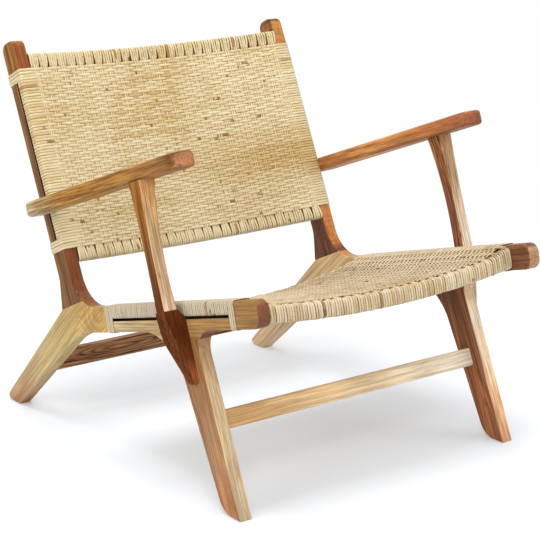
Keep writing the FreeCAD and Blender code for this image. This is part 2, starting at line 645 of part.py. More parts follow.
# Foot of the arm post: a tapering block lapped on the outside of the rail and the front leg.
foot_body = new_body("arm_foot_body")
FOOT = [("foot_front_y", "foot_front_z"), ("tip_front_y", "foot_tip_height"), ("tip_rear_y", "tip_rear_z"),
        ("foot_back_y", "foot_heel_z"), ("foot_back_y", "foot_back_z")]
foot_top = pad(foot_body, polygon(foot_body, "foot_outline", "YZ_Plane", FOOT), "Sizes.foot_thick")
for corner, radius in ((FOOT[1], "foot_tip_radius"), (FOOT[2], "foot_tip_radius"),
                       (FOOT[3], "foot_heel_radius")):
    foot_top = round_edges(foot_body, foot_top, crossing(corner), radius)
foot_top = cut_through(foot_body, polygon(foot_body, "foot_taper", "XZ_Plane", [
    ("foot_thick", "taper_top"), ("foot_tip_thick", "tip_rear_z"), ("foot_tip_thick", "foot_below"),
    ("foot_beyond", "foot_below"), ("foot_beyond", "taper_top")]))
foot_top = cut_through(foot_body, polygon(foot_body, "foot_relief", "XZ_Plane", [
    ("0", "relief_z"), ("arm_post_gap", "foot_front_z"), ("arm_post_gap", "foot_above"),
    ("0", "foot_above")]))
place(foot_body, "level", "Sizes.frame_outer")

# Armrest: a board with rounded ends that closes in towards the front and is housed over the back post.
arm_body = new_body("armrest_body")
ARM = [("arm_in_front", "-arm_front_long"), ("arm_out_front", "-arm_front_long"),
       ("arm_out_rear", "arm_rear_long"), ("arm_in_rear", "arm_rear_long")]
arm_top = pad(arm_body, polygon(arm_body, "arm_outline", "XY_Plane", ARM), "Sizes.arm_thick")


def standing(point):
    x, y = at(point).x, at(point).y
    return lambda edge: all(abs(v.X - x) < 1e-4 and abs(v.Y - y) < 1e-4 for v in edge.Vertexes)


for corner, radius in zip(ARM, ("arm_front_round", "arm_front_round", "arm_tail_round")):
    arm_top = round_edges(arm_body, arm_top, standing(corner), radius)
flat_edges = lambda edge: edge.BoundBox.ZLength < 1e-3
round_edges(arm_body, arm_top, flat_edges, "arm_edge_radius")
place(arm_body, "arm")
doc.recompute()

keep_pair("arm_post", boolean("Cut", "right_arm_post", post_body, arm_pair))
keep_pair("arm_post_foot", boolean("Cut", "right_arm_post_foot", foot_body, group(
    "foot_bores", [arm_pair, foot_pair, doc.getObject("rail_winding_outer")])))
armrest = boolean("Cut", "right_armrest", arm_body, group("arm_bores", [arm_pair, screw, post]))
keep_pair("armrest", armrest)
keep_pair("back_binding", boolean("Cut", "right_back_binding", post_binding, armrest))

# Wound rails of the back and the seat: hollowed boards between the side frames.
both_cross = group("cross_rail_dowels", [cross_pair, mirrored("left_cross_dowels", cross_pair)])


def back_rail(name, low):
    body = new_body(name + "_body")
    outline = bowed(body, name + "_outline", "XY_Plane", "rail_half", "back_rail_front", "back_rail_rear",
                    "back_bow", False, "Sizes." + low)
    solid = pad(body, outline, "Sizes.back_rail_depth")
    long_edges = lambda edge: edge.Length > size("clear_width") * 0.98
    round_edges(body, solid, long_edges, "rail_edge")
    place(body, "back")
    doc.recompute()
    keep(name, boolean("Cut", name, body, both_cross))


def seat_rail(name, end, low, high, sag):
    body = new_body(name + "_body")
    outline = bowed(body, name + "_outline", "XZ_Plane", "rail_half", low, high, sag, True, "-Sizes." + end)
    solid = pad(body, outline, "Sizes.seat_rail_thick")
    long_edges = lambda edge: edge.Length > size("clear_width") * 0.98
    round_edges(body, solid, long_edges, "rail_edge")
    place(body, "seat")
    doc.recompute()
    keep(name, boolean("Cut", name, body, both_cross))


back_rail("back_top_rail", "top_rail_low")
back_rail("back_bottom_rail", "bottom_rail_low")
seat_rail("seat_front_rail", "front_rail_end", "front_rail_low", "front_rail_high", "front_sag")
seat_rail("seat_rear_rail", "rear_rail_end", "rear_rail_low", "rear_rail_high", "rear_sag")

# Woven panels: hollow bands of woven strand round the pair of rails, front and back.
# A raised line stands for every third pair of uprights.
long_outer = lambda edge: edge.Length > size("clear_width") * 0.98


def ribbed(name, frame, panel, proud, hollow, bar):
    """A panel with raised lines cut from its proud twin, hollowed out. bar sizes a line in its frame."""
    last = (int(size("weave_columns")) - 1) // 6 * 3
    lines = group(name + "_lines", [
        box("%s_line_%d" % (name, last + column), frame,
            "%d * Sizes.column_pitch - Sizes.rib_width / 2" % column, bar[0], bar[1],
            "Sizes.rib_width", bar[2], bar[3])
        for column in range(-last, last + 1, 3)])
    raised = boolean("Common", name + "_raised", proud, lines)
    keep(name, boolean("Cut", name, boolean("Fuse", name + "_outer", panel, raised), hollow))


def back_slab(name, half, front, rear, low, length):
    """A bowed slab along the back."""
    body = new_body(name + "_body")
    outline = bowed(body, name + "_outline", "XY_Plane", half, front, rear, "back_bow", False, "Sizes." + low)
    solid = pad(body, outline, "Sizes." + length)
    place(body, "back")
    return body, solid


def seat_slab(name, half, rear_span, front_span, rear, front):
    """A slab along the seat, dished more at its rear than at its front."""
    body = new_body(name + "_body")
    solid = loft(body, [
        bowed(body, name + "_rear", "XZ_Plane", half, *rear_span, "rear_sag", True, "-Sizes." + rear),
        bowed(body, name + "_front", "XZ_Plane", half, *front_span, "front_sag", True, "-Sizes." + front)])
    place(body, "seat")
    return body, solid


panel, solid = back_slab("back_panel", "panel_half", "back_front", "back_rear", "panel_low", "panel_long")
round_edges(panel, solid, long_outer, "weave_round")
proud, solid = back_slab("back_proud", "panel_half", "back_proud_front", "back_proud_rear", "panel_low",
                         "panel_long")
hollow, solid = back_slab("back_hollow", "cavity_half", "0", "back_cavity", "cavity_low", "cavity_long")
doc.recompute()
ribbed("back_weave", "back", panel, proud, hollow, (
    "Sizes.back_proud_front", "Sizes.panel_low + Sizes.rib_inset",
    "Sizes.back_proud_rear - Sizes.back_proud_front + Sizes.back_bow",
    "Sizes.panel_long - 2 * Sizes.rib_inset"))

panel, solid = seat_slab("seat_panel", "panel_half", ("rear_panel_low", "rear_panel_high"),
                         ("front_panel_low", "front_panel_high"), "seat_rear", "seat_front")
round_edges(panel, solid, long_outer, "weave_round")
proud, solid = seat_slab("seat_proud", "panel_half", ("rear_proud_low", "rear_proud_high"),
                         ("front_proud_low", "front_proud_high"), "seat_rear", "seat_front")
hollow, solid = seat_slab("seat_hollow", "cavity_half", ("rear_cavity_low", "rear_cavity_high"),
                          ("front_cavity_low", "front_cavity_high"), "cavity_rear", "cavity_front")
doc.recompute()
ribbed("seat_weave", "seat", panel, proud, hollow, (
    "Sizes.seat_front + Sizes.rib_inset", "Sizes.front_proud_low - Sizes.rear_sag",
    "Sizes.seat_rear - Sizes.seat_front - 2 * Sizes.rib_inset",
    "Sizes.rear_proud_high - Sizes.front_proud_low + Sizes.rear_sag"))

for name, pair in (("knee_dowels", knee_pair), ("rail_dowels", rail_pair), ("leg_dowels", leg_pair),
                   ("arm_dowels", arm_pair), ("foot_dowels", foot_pair), ("arm_screws", screw)):
    keep(name, group("all_" + name, [pair, mirrored("left_" + name, pair)]))
keep("cross_rail_dowels", both_cross)

# Every object is sound before the files are written.
doc.recompute()
for obj in doc.Objects:
    if "Invalid" in obj.State or "Error" in obj.State:
        raise RuntimeError("%s did not compute" % obj.Name)
os.makedirs("parts", exist_ok=True)
for label, obj in sorted(nodes.items()):
    shape = obj.Shape
    if shape.isNull() or not shape.isValid() or not shape.Solids:
        raise RuntimeError("%s has no sound solid" % label)
    shape.exportStep("parts/%s.step" % label)
    print("%-22s %d solid(s) %10.0f mm3" % (label, len(shape.Solids), shape.Volume))
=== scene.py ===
import bpy
import math
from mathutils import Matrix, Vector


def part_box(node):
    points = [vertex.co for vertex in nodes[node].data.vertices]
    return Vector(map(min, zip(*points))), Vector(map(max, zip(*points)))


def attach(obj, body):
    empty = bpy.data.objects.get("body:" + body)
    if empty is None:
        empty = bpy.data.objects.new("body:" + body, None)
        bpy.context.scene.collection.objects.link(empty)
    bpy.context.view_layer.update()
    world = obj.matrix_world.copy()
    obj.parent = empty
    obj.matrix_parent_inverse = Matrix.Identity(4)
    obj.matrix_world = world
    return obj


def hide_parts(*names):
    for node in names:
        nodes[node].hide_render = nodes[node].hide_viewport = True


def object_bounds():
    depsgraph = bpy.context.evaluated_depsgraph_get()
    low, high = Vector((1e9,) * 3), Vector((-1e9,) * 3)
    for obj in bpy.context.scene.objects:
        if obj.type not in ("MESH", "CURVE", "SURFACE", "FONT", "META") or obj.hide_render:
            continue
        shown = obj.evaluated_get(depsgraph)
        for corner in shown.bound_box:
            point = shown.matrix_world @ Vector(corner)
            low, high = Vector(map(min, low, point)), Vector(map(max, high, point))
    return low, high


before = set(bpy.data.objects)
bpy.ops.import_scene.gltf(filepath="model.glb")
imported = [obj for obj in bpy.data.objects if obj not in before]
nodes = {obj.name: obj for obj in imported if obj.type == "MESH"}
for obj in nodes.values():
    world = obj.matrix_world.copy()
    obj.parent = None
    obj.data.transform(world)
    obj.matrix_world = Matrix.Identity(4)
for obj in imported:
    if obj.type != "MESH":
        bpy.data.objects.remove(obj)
cad_low, cad_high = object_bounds()
scene = bpy.context.scene


# Studio: the chair stands on a plain pale floor, under a broad soft lamp overhead, with weaker ones in front,
# at the left side, at the front right and behind. The floor keeps the chair's soft shadow, and reads as white
# to the camera where nothing shades it.
class Wire:
    """A socket in a node tree; sums on it add Math nodes."""

    def __init__(self, tree, socket=None):
        self.tree = tree
        self.socket = socket

    def make(self, kind, settings=None, sockets=None, out=0):
        """Adds a node: its settings first, then the values or links of its sockets."""
        node = self.tree.nodes.new(kind)
        for name, value in (settings or {}).items():
            if name == "stops":
                ramp = node.color_ramp
                while len(ramp.elements) < len(value):
                    ramp.elements.new(0.5)
                for element, (place, shade) in zip(ramp.elements, value):
                    element.position = place
                    element.color = shade
            else:
                setattr(node, name, value)
        for key, value in (sockets or {}).items():
            if isinstance(value, Wire):
                self.tree.links.new(value.socket, node.inputs[key])
            else:
                node.inputs[key].default_value = value
        return Wire(self.tree, node.outputs[out] if node.outputs else None)

    def math(self, operation, *values):
        return self.make("ShaderNodeMath", {"operation": operation}, dict(enumerate(values)))

    def __add__(self, other):
        return self.math("ADD", self, other)

    def __sub__(self, other):
        return self.math("SUBTRACT", self, other)

    def __rsub__(self, other):
        return self.math("SUBTRACT", other, self)

    def __mul__(self, other):
        return self.math("MULTIPLY", self, other)

    def __truediv__(self, other):
        return self.math("DIVIDE", self, other)

    __radd__ = __add__
    __rmul__ = __mul__

    def clamp(self, low, high):
        return self.math("MINIMUM", self.math("MAXIMUM", self, low), high)

    def smooth(self, low, high):
        """0 below low, 1 above high, eased between."""
        return self.make("ShaderNodeMapRange", {"interpolation_type": "SMOOTHSTEP"},
                         {"Value": self, "From Min": low, "From Max": high})

    def mix(self, first, second, blend="MIX"):
        """Mixes two colours with this socket as the factor."""
        return self.make("ShaderNodeMix", {"data_type": "RGBA", "blend_type": blend},
                         {0: self, 6: first, 7: second}, 2)

    def axis(self, number):
        """One of a vector's three numbers."""
        return self.make("ShaderNodeSeparateXYZ", None, {0: self}, number)


def new_material(name):
    """An empty material and its node tree."""
    material = bpy.data.materials.new(name)
    material.use_nodes = True
    material.node_tree.nodes.clear()
    return material, Wire(material.node_tree)


def seen_directly(net):
    """1 for rays that look at the background straight, in a mirror or through glass."""
    return sum(net.make("ShaderNodeLightPath", out="Is %s Ray" % kind)
               for kind in ("Camera", "Glossy", "Transmission"))


WHITE = (1, 1, 1, 1)
FLOOR_REACH = 30.0
FLOOR_DROP = 0.0005
FLOOR_PAINT = (0.76, 0.795, 0.84, 1)
FLOOR_GLOW = 0.165
FADE_START, FADE_END = 0.75, 1.9
floor_mesh = bpy.data.meshes.new("floor")
floor_mesh.from_pydata([(x * FLOOR_REACH, y * FLOOR_REACH, -FLOOR_DROP)
                        for x, y in ((-1, -1), (1, -1), (1, 1), (-1, 1))], [], [(0, 1, 2, 3)])
floor = bpy.data.objects.new("floor", floor_mesh)
scene.collection.objects.link(floor)
floor_white, net = new_material("floor white")
seen = seen_directly(net)
spot = net.make("ShaderNodeTexCoord", out="Object")
distance = net.make("ShaderNodeVectorMath", {"operation": "LENGTH"}, {0: spot}, "Value")
lit = net.make("ShaderNodeBsdfDiffuse", None, {"Color": FLOOR_PAINT})
glow = net.make("ShaderNodeEmission", None, {"Color": WHITE, "Strength": seen * FLOOR_GLOW})
both = net.make("ShaderNodeAddShader", None, {0: lit, 1: glow})
far_white = net.make("ShaderNodeEmission", None, {"Color": WHITE, "Strength": 1.0})
far = distance.smooth(FADE_START, FADE_END) * seen
surface = net.make("ShaderNodeMixShader", None, {0: far, 1: both, 2: far_white})
net.make("ShaderNodeOutputMaterial", None, {"Surface": surface})
floor_mesh.materials.append(floor_white)

WORLD_LIGHT = 0.62
world = bpy.data.worlds.new("studio")
scene.world = world
world.use_nodes = True
world.node_tree.nodes.clear()
net = Wire(world.node_tree)
background = net.make("ShaderNodeBackground", None, {
    "Color": WHITE, "Strength": WORLD_LIGHT + seen_directly(net) * (1 - WORLD_LIGHT)})
net.make("ShaderNodeOutputWorld", None, {"Surface": background})

CHAIR_MIDDLE = (0.0, 0.0, 0.35)


def soft_lamp(name, place, across, power):
    """A square studio softbox, aimed at the middle of the chair."""
    lamp = bpy.data.lights.new(name, "AREA")
    lamp.size = across
    lamp.energy = power
    stand = bpy.data.objects.new(name, lamp)
    stand.location = place
    way = [a - p for a, p in zip(CHAIR_MIDDLE, place)]
    tilt = math.atan2(math.hypot(way[0], way[1]), -way[2])
    stand.rotation_euler = (tilt, 0, math.atan2(-way[0], way[1]))
    scene.collection.objects.link(stand)


soft_lamp("overhead", (-0.3, 0.0, 3.2), 1.8, 55)
soft_lamp("front", (-1.9, -2.7, 2.2), 2.0, 40)
soft_lamp("side", (-3.0, -0.2, 1.5), 1.8, 26)
soft_lamp("fill", (2.6, -2.2, 1.6), 2.0, 20)
soft_lamp("rear", (1.4, 2.8, 1.5), 2.0, 16)

# Camera: the photograph's viewing angle, from the front left and a little above the arms.
# Its place and turn are fitted to points on the chair, so the frame is the photograph's own.
IMAGE_SIDE = 540
FOCAL_PIXELS = 1684.67
camera = bpy.data.cameras.new("camera")
camera.sensor_width = 36
camera.lens = FOCAL_PIXELS * camera.sensor_width / IMAGE_SIDE
viewer = bpy.data.objects.new("camera", camera)
viewer.location = (-1.8622, -2.4697, 1.1300)
viewer.rotation_euler = (math.radians(75.086), 0, math.radians(-37.381))
scene.collection.objects.link(viewer)
scene.camera = viewer
scene.view_settings.view_transform = "Standard"

# Back posts: a pair of reclined uprights of oiled hardwood, brown with a redder front face.
# Each is sawn from a plank with strong growth rings, slotted for the strands, and dowelled to the knee of the
# rear leg.
WANDER_CELLS = (8, 2.4, 8)  # noise cells per metre: across the grain, along it and through the piece
PATCH_CELLS = (24, 6, 24)
STREAK_CELLS = (230, 7, 230)
FIBRE_CELLS = (540, 13, 540)
STRAIGHT_GRAIN = 80.0  # how much longer than wide the rings are drawn where no eye shows
FLAT_SAWN = 0.4  # the eye's rings open out this much across the plank
RING_WANDER = 0.03  # metres that the rings stray, and how fast they close in along the plank
RING_TAPER = 0.012
TONE_WANDER = 0.14  # share of the length by which the tones stray
FACE_WANDER = 0.3  # how raggedly the front face's tones start
FACE_FADE = (0.45, 0.75)
RING_FADE, STREAK_FADE = (0.47, 0.55), (0.51, 0.57)  # noise levels between which a mark fades in
RING_SHARE, STREAK_SHARE = 0.75, 0.55
EYE_CORE = 0.4  # share of the eye's reach in which its rings are whole
EYE_OUTER, EYE_INNER = 0.9, 0.8  # how strong its rings are outside that reach, and how much more inside
LICK_PATCH, LICK_STREAK, LICK_END = (0.46, 0.58), (0.50, 0.58), (0.74, 0.95)
LICK_SHARE = 0.45
PALE_PATCH, PALE_FADE = (1.34, 1.26, 1.08, 1), (0.34, 0.52)
DEEP_PATCH, DEEP_FADE = (0.80, 0.73, 0.62, 1), (0.50, 0.66)
PATCHINESS = 1.5
DARK_FIBRE, DARK_FIBRE_FADE = (0.58, 0.48, 0.36, 1), (0.49, 0.58)
PALE_FIBRE, PALE_FIBRE_FADE = (1.16, 1.14, 1.08, 1), (0.36, 0.46)
FIBRE_LEAST = 0.15  # dark fibre that shows on the plainest wood
KNOT_BROWN = "5c2814"
KNOT_SHARE, KNOT_CORE = 0.85, 0.3
KNOT_STRETCH = 0.45
KNOT_FRAY = 0.003
PAINTED_SLOT_SHADE = (0.012, 0.008, 0.005, 1)
SLOT_BEFORE, SLOT_INSIDE = 0.0006, 0.0002  # width of the edge of the slot's painted shade
PORE_DEPTH, PORE_STRENGTH = 0.0006, 0.15
FIBRE_HEIGHT, RING_HEIGHT = 0.6, 0.4
OILED_ROUGHNESS, FIBRE_ROUGHNESS = 0.40, 0.2


def colour(code):
    """The linear colour of a screen colour such as c8a46e."""
    parts = [int(code[i:i + 2], 16) / 255 for i in (0, 2, 4)]
    return tuple(c / 12.92 if c <= 0.04045 else ((c + 0.055) / 1.055) ** 2.4 for c in parts) + (1.0,)


def timber(node, lean, tones, rings, heart, dark, contrast=0.6, front=None, across=False, slot=None, eye=None,
           knots=(), gloss=0.09, facing=(0.0, -1.0), ring_reach=None, veined=0.4, flame=None, seed=0.0):
    """Oiled hardwood on one piece. lean is the grain's angle above the Y axis in degrees, or with across the
    grain runs along X. tones are the colours along the grain from its low end to its high end, and dark the
    colour of its lines, which show with contrast. rings is their number per metre, and heart the place of
    their centre beside the piece. front gives other tones to what looks the way that facing weighs, in Z and
    Y, and veined is the share of the lines left there. eye is a flat-sawn figure's place along and across the
    face and how long it is drawn; past ring_reach its rings run out into lines along the grain. slot is the
    depth and along spans of the slot, whose walls get a painted shade, knots the places and sizes of small
    dark knots from the middle of the piece, flame the colour of licks at the high end, gloss the oil's shine."""
    material, net = new_material(node.replace("_", " ") + " wood")
    place = net.make("ShaderNodeTexCoord", out="Object")
    turn = (0, 0, math.radians(-90)) if across else (math.radians(-lean), 0, 0)
    local = net.make("ShaderNodeMapping", None, {"Vector": place, "Rotation": turn})
    side, along, depth = [local.axis(i) for i in range(3)]

    # span of the piece along its grain and through its depth, from its own corners
    cos, sin = math.cos(math.radians(lean)), math.sin(math.radians(lean))
    corners = [v.co for v in nodes[node].data.vertices]
    spots = [(c.x, c.y * cos + c.z * sin, c.z * cos - c.y * sin) for c in corners]
    if across:
        spots = [(c.y, -c.x, c.z) for c in corners]
    low = [min(s[i] for s in spots) for i in range(3)]
    high = [max(s[i] for s in spots) for i in range(3)]
    middle = [(a + b) / 2 for a, b in zip(low, high)]

    def grain(cells, shift, detail):
        stretched = net.make("ShaderNodeMapping", None, {
            "Vector": local, "Location": (shift, shift * 1.7, shift * 0.6), "Scale": cells})
        return net.make("ShaderNodeTexNoise", {"noise_dimensions": "3D"}, {
            "Vector": stretched, "Scale": 1.0, "Detail": detail})

    # slow wander of the grain, then rings about the heart or the eye
    wander = grain(WANDER_CELLS, seed, 2.0)
    eye_along, eye_depth, stretch = eye or (0.0, heart[1], STRAIGHT_GRAIN)
    off_side = (side - (middle[0] + (0.0 if eye else heart[0]))) * (FLAT_SAWN if eye else 1.0)
    off_depth = depth - (middle[2] + eye_depth)
    off_along = (along - (middle[1] + eye_along)) / stretch
    radius = net.math("SQRT", off_side * off_side + off_depth * off_depth + off_along * off_along)
    ringed = RING_SHARE
    if ring_reach:
        near = 1 - radius.smooth(ring_reach * EYE_CORE, ring_reach)
        radius = radius * near + off_depth * (1 - near)
        ringed = EYE_OUTER + near * EYE_INNER
    radius = radius + (wander - 0.5) * RING_WANDER + (along - middle[1]) * (0.0 if eye else RING_TAPER)
    growth = net.make("ShaderNodeTexNoise", {"noise_dimensions": "1D"}, {
        "W": radius * rings + seed, "Scale": 1.0, "Detail": 2.5, "Roughness": 0.6})
    streak = grain(STREAK_CELLS, seed * 2.3, 3.0)
    fibre = grain(FIBRE_CELLS, 0.0, 2.5)
    patch = grain(PATCH_CELLS, seed * 3.1, 2.0)
    run = (along - low[1]) * (1.0 / (high[1] - low[1])) + (wander - 0.5) * TONE_WANDER

    def ramp(shades):
        stops = [(i / max(len(shades) - 1, 1), colour(shade)) for i, shade in enumerate(shades)]
        return net.make("ShaderNodeValToRGB", {"stops": stops}, {"Fac": run})

    # tones along the piece, then its lines, licks and patches, and the fine fibre over all
    base = ramp(tones)
    lines = (growth.smooth(*RING_FADE) * ringed + streak.smooth(*STREAK_FADE) * STREAK_SHARE) * contrast
    if front:
        normal = net.make("ShaderNodeTexCoord", out="Normal")
        forward = normal.axis(1) * facing[1] + normal.axis(2) * facing[0]
        forward = (forward + (wander - 0.5) * FACE_WANDER).smooth(*FACE_FADE)
        base = forward.mix(base, ramp(front))
        lines = lines * (1 - forward * (1 - veined))
    base = lines.clamp(0.0, 1.0).mix(base, colour(dark))
    if flame:
        licks = patch.smooth(*LICK_PATCH) * LICK_SHARE + streak.smooth(*LICK_STREAK) * LICK_SHARE
        base = (licks * run.smooth(*LICK_END)).clamp(0.0, 1.0).mix(base, colour(flame))
    uneven = min(1.0, PATCHINESS * contrast)
    base = ((1 - patch.smooth(*PALE_FADE)) * uneven).mix(base, PALE_PATCH, "MULTIPLY")
    base = (patch.smooth(*DEEP_FADE) * uneven).mix(base, DEEP_PATCH, "MULTIPLY")
    fibrous = FIBRE_LEAST + (1 - FIBRE_LEAST) * contrast
    base = (fibre.smooth(*DARK_FIBRE_FADE) * fibrous).mix(base, DARK_FIBRE, "MULTIPLY")
    base = (1 - fibre.smooth(*PALE_FIBRE_FADE)).mix(base, PALE_FIBRE, "MULTIPLY")
    for knot_along, knot_side, knot_depth, knot_size in knots:
        apart = [(along - (middle[1] + knot_along)) * KNOT_STRETCH, side - (middle[0] + knot_side),
                 depth - (middle[2] + knot_depth)]
        reach = net.math("SQRT", sum(gap * gap for gap in apart)) + (streak - 0.5) * KNOT_FRAY
        inside = 1 - reach.smooth(knot_size * KNOT_CORE, knot_size)
        base = (inside * KNOT_SHARE).mix(base, colour(KNOT_BROWN))
    # painted shade: the walls of the slot are coloured near black
    if slot:
        slot_shade_mask = 1.0
        for place_in, (start, end) in zip((depth, along), slot):
            slot_shade_mask = slot_shade_mask * place_in.smooth(start - SLOT_BEFORE, start + SLOT_INSIDE)
            slot_shade_mask = slot_shade_mask * (1 - place_in.smooth(end - SLOT_INSIDE, end + SLOT_BEFORE))
        base = slot_shade_mask.mix(base, PAINTED_SLOT_SHADE)
    bump = net.make("ShaderNodeBump", None, {
        "Strength": PORE_STRENGTH, "Distance": PORE_DEPTH,
        "Height": fibre * FIBRE_HEIGHT + growth * RING_HEIGHT})
    surface = net.make("ShaderNodeBsdfPrincipled", None, {
        "Base Color": base, "Roughness": OILED_ROUGHNESS + fibre * FIBRE_ROUGHNESS, "Normal": bump,
        "Specular IOR Level": gloss})
    net.make("ShaderNodeOutputMaterial", None, {"Surface": surface})
    nodes[node].data.materials.clear()
    nodes[node].data.materials.append(material)


SEAT_PITCH = 14.3  # degrees
BACK_RECLINE = 24.5
FRONT_PLANE = cad_low[1]
RAIL_UNDERSIDE = 0.3486
RAIL_DEPTH = 0.047
BACK_SET = 0.5554
pitch = math.radians(SEAT_PITCH)
seat_place = (0.0, FRONT_PLANE, RAIL_UNDERSIDE)
back_place = (0.0, FRONT_PLANE + BACK_SET,
              RAIL_UNDERSIDE + RAIL_DEPTH / math.cos(pitch) - BACK_SET * math.tan(pitch))


def slot_span(place, lean, depths, alongs):
    """Depth and along spans of a slot in a piece's grain axes, from its place in the back or the seat."""
    cos, sin = math.cos(math.radians(lean)), math.sin(math.radians(lean))
    depth = place[2] * cos - place[1] * sin
    along = place[1] * cos + place[2] * sin
    return [depth + d for d in depths], [along + a for a in alongs]


POST_LEAN = 90 - BACK_RECLINE
POST_SLOT_DEPTHS, POST_SLOT_ALONGS = (-0.0222, -0.0156), (0.136, 0.447)
post_slot = slot_span(back_place, POST_LEAN, POST_SLOT_DEPTHS, POST_SLOT_ALONGS)
timber("left_back_post", POST_LEAN, ["895f3e", "976f46", "976f46", "a67031"], 210, (0.05, -0.03), "4e3019",
       0.55, front=["7b472b", "854e2e", "93562f"], slot=post_slot, seed=1.3)
timber("right_back_post", POST_LEAN, ["734832", "85593e", "a27248"], 330, (0.02, 0.04), "402418",
       front=["bc7948", "bd7e49", "c1874d"], slot=post_slot, eye=(-0.24, 0.009, 3.0), seed=4.1)

# Rear legs: the knee where post, rail and leg meet, swept out of one wide plank of pale sapwood.
# The feet are cut level with the floor and the heel is eased.
REAR_LEG_LEAN = -43.0
TOWARDS_SITTER = (0.7, -0.7)
timber("left_rear_leg", REAR_LEG_LEAN, ["c69f5c", "c2a870", "b8a778", "c0a680", "b89474"], 150, (0.03, 0.05),
       "a07440", 0.27, front=["8b5232", "8b5232"], facing=TOWARDS_SITTER, eye=(-0.203, -0.015, 1.3),
       ring_reach=0.075, flame="9a5a3c", seed=2.2)
# the palest tone, at the foot, is partly paler wood and partly painted light against the shade there
timber("right_rear_leg", REAR_LEG_LEAN, ["c9a876", "c9b186", "e0c69c", "f2d8b8"], 160, (-0.03, 0.05),
       "b07c50", 0.35, front=["c48a5e", "c48a5e"], facing=TOWARDS_SITTER, seed=7.5)

# Side rails: straight bars that rise to a rounded nose, slotted for the strands and dowelled to the knee.
# They are sawn from the same pale plank, with darker heartwood at the nose.
RAIL_LEAN = -SEAT_PITCH
RAIL_GLOSS = 0.3
RAIL_SLOT_DEPTHS, RAIL_SLOT_ALONGS = (0.0203, 0.0279), (0.079, 0.448)
rail_slot = slot_span(seat_place, RAIL_LEAN, RAIL_SLOT_DEPTHS, RAIL_SLOT_ALONGS)
timber("left_side_rail", RAIL_LEAN, ["88632e", "9e7742", "c09a62", "cab484", "cfbb8c"], 210, (0.02, 0.05),
       "74502a", 0.42, front=["6e4028", "784a30"], slot=rail_slot, gloss=RAIL_GLOSS, seed=3.7)
# the nose end's paler front tone is partly a painted highlight on its rounded front
timber("right_side_rail", RAIL_LEAN, ["7b4e35", "86573e", "8f5e3f", "b98f62"], 190, (0.03, -0.05), "4c2c1c",
       front=["b48868", "94644a"], slot=rail_slot, gloss=RAIL_GLOSS, seed=9.1)

# Front legs: raked and tapered, with a rounded heel, dowelled up into the side rail.
# Their outer and inner faces are brown, and their front faces show the paler edge of the plank.
FRONT_LEG_LEAN = 64.5
# the dark top of the front face is partly darker wood and partly painted shade under the rail
timber("left_front_leg", FRONT_LEG_LEAN, ["b78158", "a78363", "a37b54", "a1774c"], 180, (0.06, 0.02),
       "84563a", 0.45, front=["c2ae92", "c0aa8c", "ccb793", "d6b894", "8a5a34"], seed=5.5)
# the palest front tones, from halfway to three quarters up, are partly paler wood and partly a painted
# highlight
timber("right_front_leg", FRONT_LEG_LEAN, ["a06a48", "a46c4a", "a56d4c", "835a43"], 180, (-0.05, 0.02),
       "563422", 0.5, front=["d39d73", "dcb08c", "ecd0b4", "f6e4cc", "c89c64"], seed=6.4)

# Armrests: boards with rounded ends, dark at the front end and running out into pale sapwood at the rear.
# Each is housed over its back post and screwed to it, and dowelled down on the arm post.
ARM_PITCH = 19.6
ARM_LEAN = -ARM_PITCH
# the darkest tone, at the front end, is partly darker wood and partly painted shade on the curved outer side
timber("left_armrest", ARM_LEAN,
       ["6e4426", "a07240", "b08040", "aa7a3a", "ae7c36", "c2924a", "c4ac7a", "eae2bc"], 150, (0.07, 0.09),
       "6a4420", 0.55, front=["a77351", "a5704d"], seed=8.8)
timber("right_armrest", ARM_LEAN, ["9c6447", "a96f44", "c7905b", "c68f5a", "ae7245"], 130, (-0.05, 0.08),
       "7c482a", 0.5, front=["91593f", "996244"], seed=2.9)

# Arm posts: square uprights that flare out under the arm, brown at the side and pale in front, with knots.
# Their tapering feet, in darker tones, are lapped on the outside of rail and leg and dowelled to them.
ARM_POST_LEAN = 90 - ARM_PITCH
DRY_OIL = 0.0
ARM_POST_KNOTS = ((0.012, -0.0125, 0.0165, 0.0045), (-0.052, -0.0118, 0.0165, 0.0055),
                  (-0.02, 0.006, 0.0175, 0.003))
timber("left_arm_post", ARM_POST_LEAN, ["6c4028", "744a30", "8e6038", "a8723c", "aa743e"], 230, (0.03, 0.02),
       "5a2e12", 0.5, front=["ecceb6", "d2b28e", "c8a87e", "bf8f62"], knots=ARM_POST_KNOTS, gloss=DRY_OIL,
       veined=0.6, seed=1.9)
timber("right_arm_post", ARM_POST_LEAN, ["8e5e44", "a66e50", "c88a60"], 200, (-0.03, 0.03), "4c2a1a", 0.75,
       front=["dcd4cc", "d0b498", "bd9468"], seed=3.3)
timber("left_arm_post_foot", FRONT_LEG_LEAN, ["7e4c30", "724429", "6e4027", "6e4128"], 220, (0.04, 0.03),
       "43200c", 0.5, front=["b06a40", "6a381c", "502812", "623218"], gloss=DRY_OIL, seed=4.8)
timber("right_arm_post_foot", FRONT_LEG_LEAN, ["8f5c3e", "7a4a30", "74452c"], 220, (-0.04, 0.03), "4a2a1a",
       0.5, front=["c9b097", "ddd4cb"], seed=5.9)

# Stretchers: boards with rounded edges, tenoned between the front legs and between the rear legs.
# The front one is pale and even, the rear one dark with a long flat-sawn figure.
timber("front_stretcher", 0, ["f8f0de", "e6cca4", "d2a670"], 150, (0.03, 0.05), "b48a5c", 0.32, across=True,
       seed=6.1)
timber("rear_stretcher", 0, ["8f6d4e", "987454", "9a7050"], 300, (0.05, 0.03), "44261a", 0.8, across=True,
       eye=(0.15, 0.005, 9.0), seed=7.2)

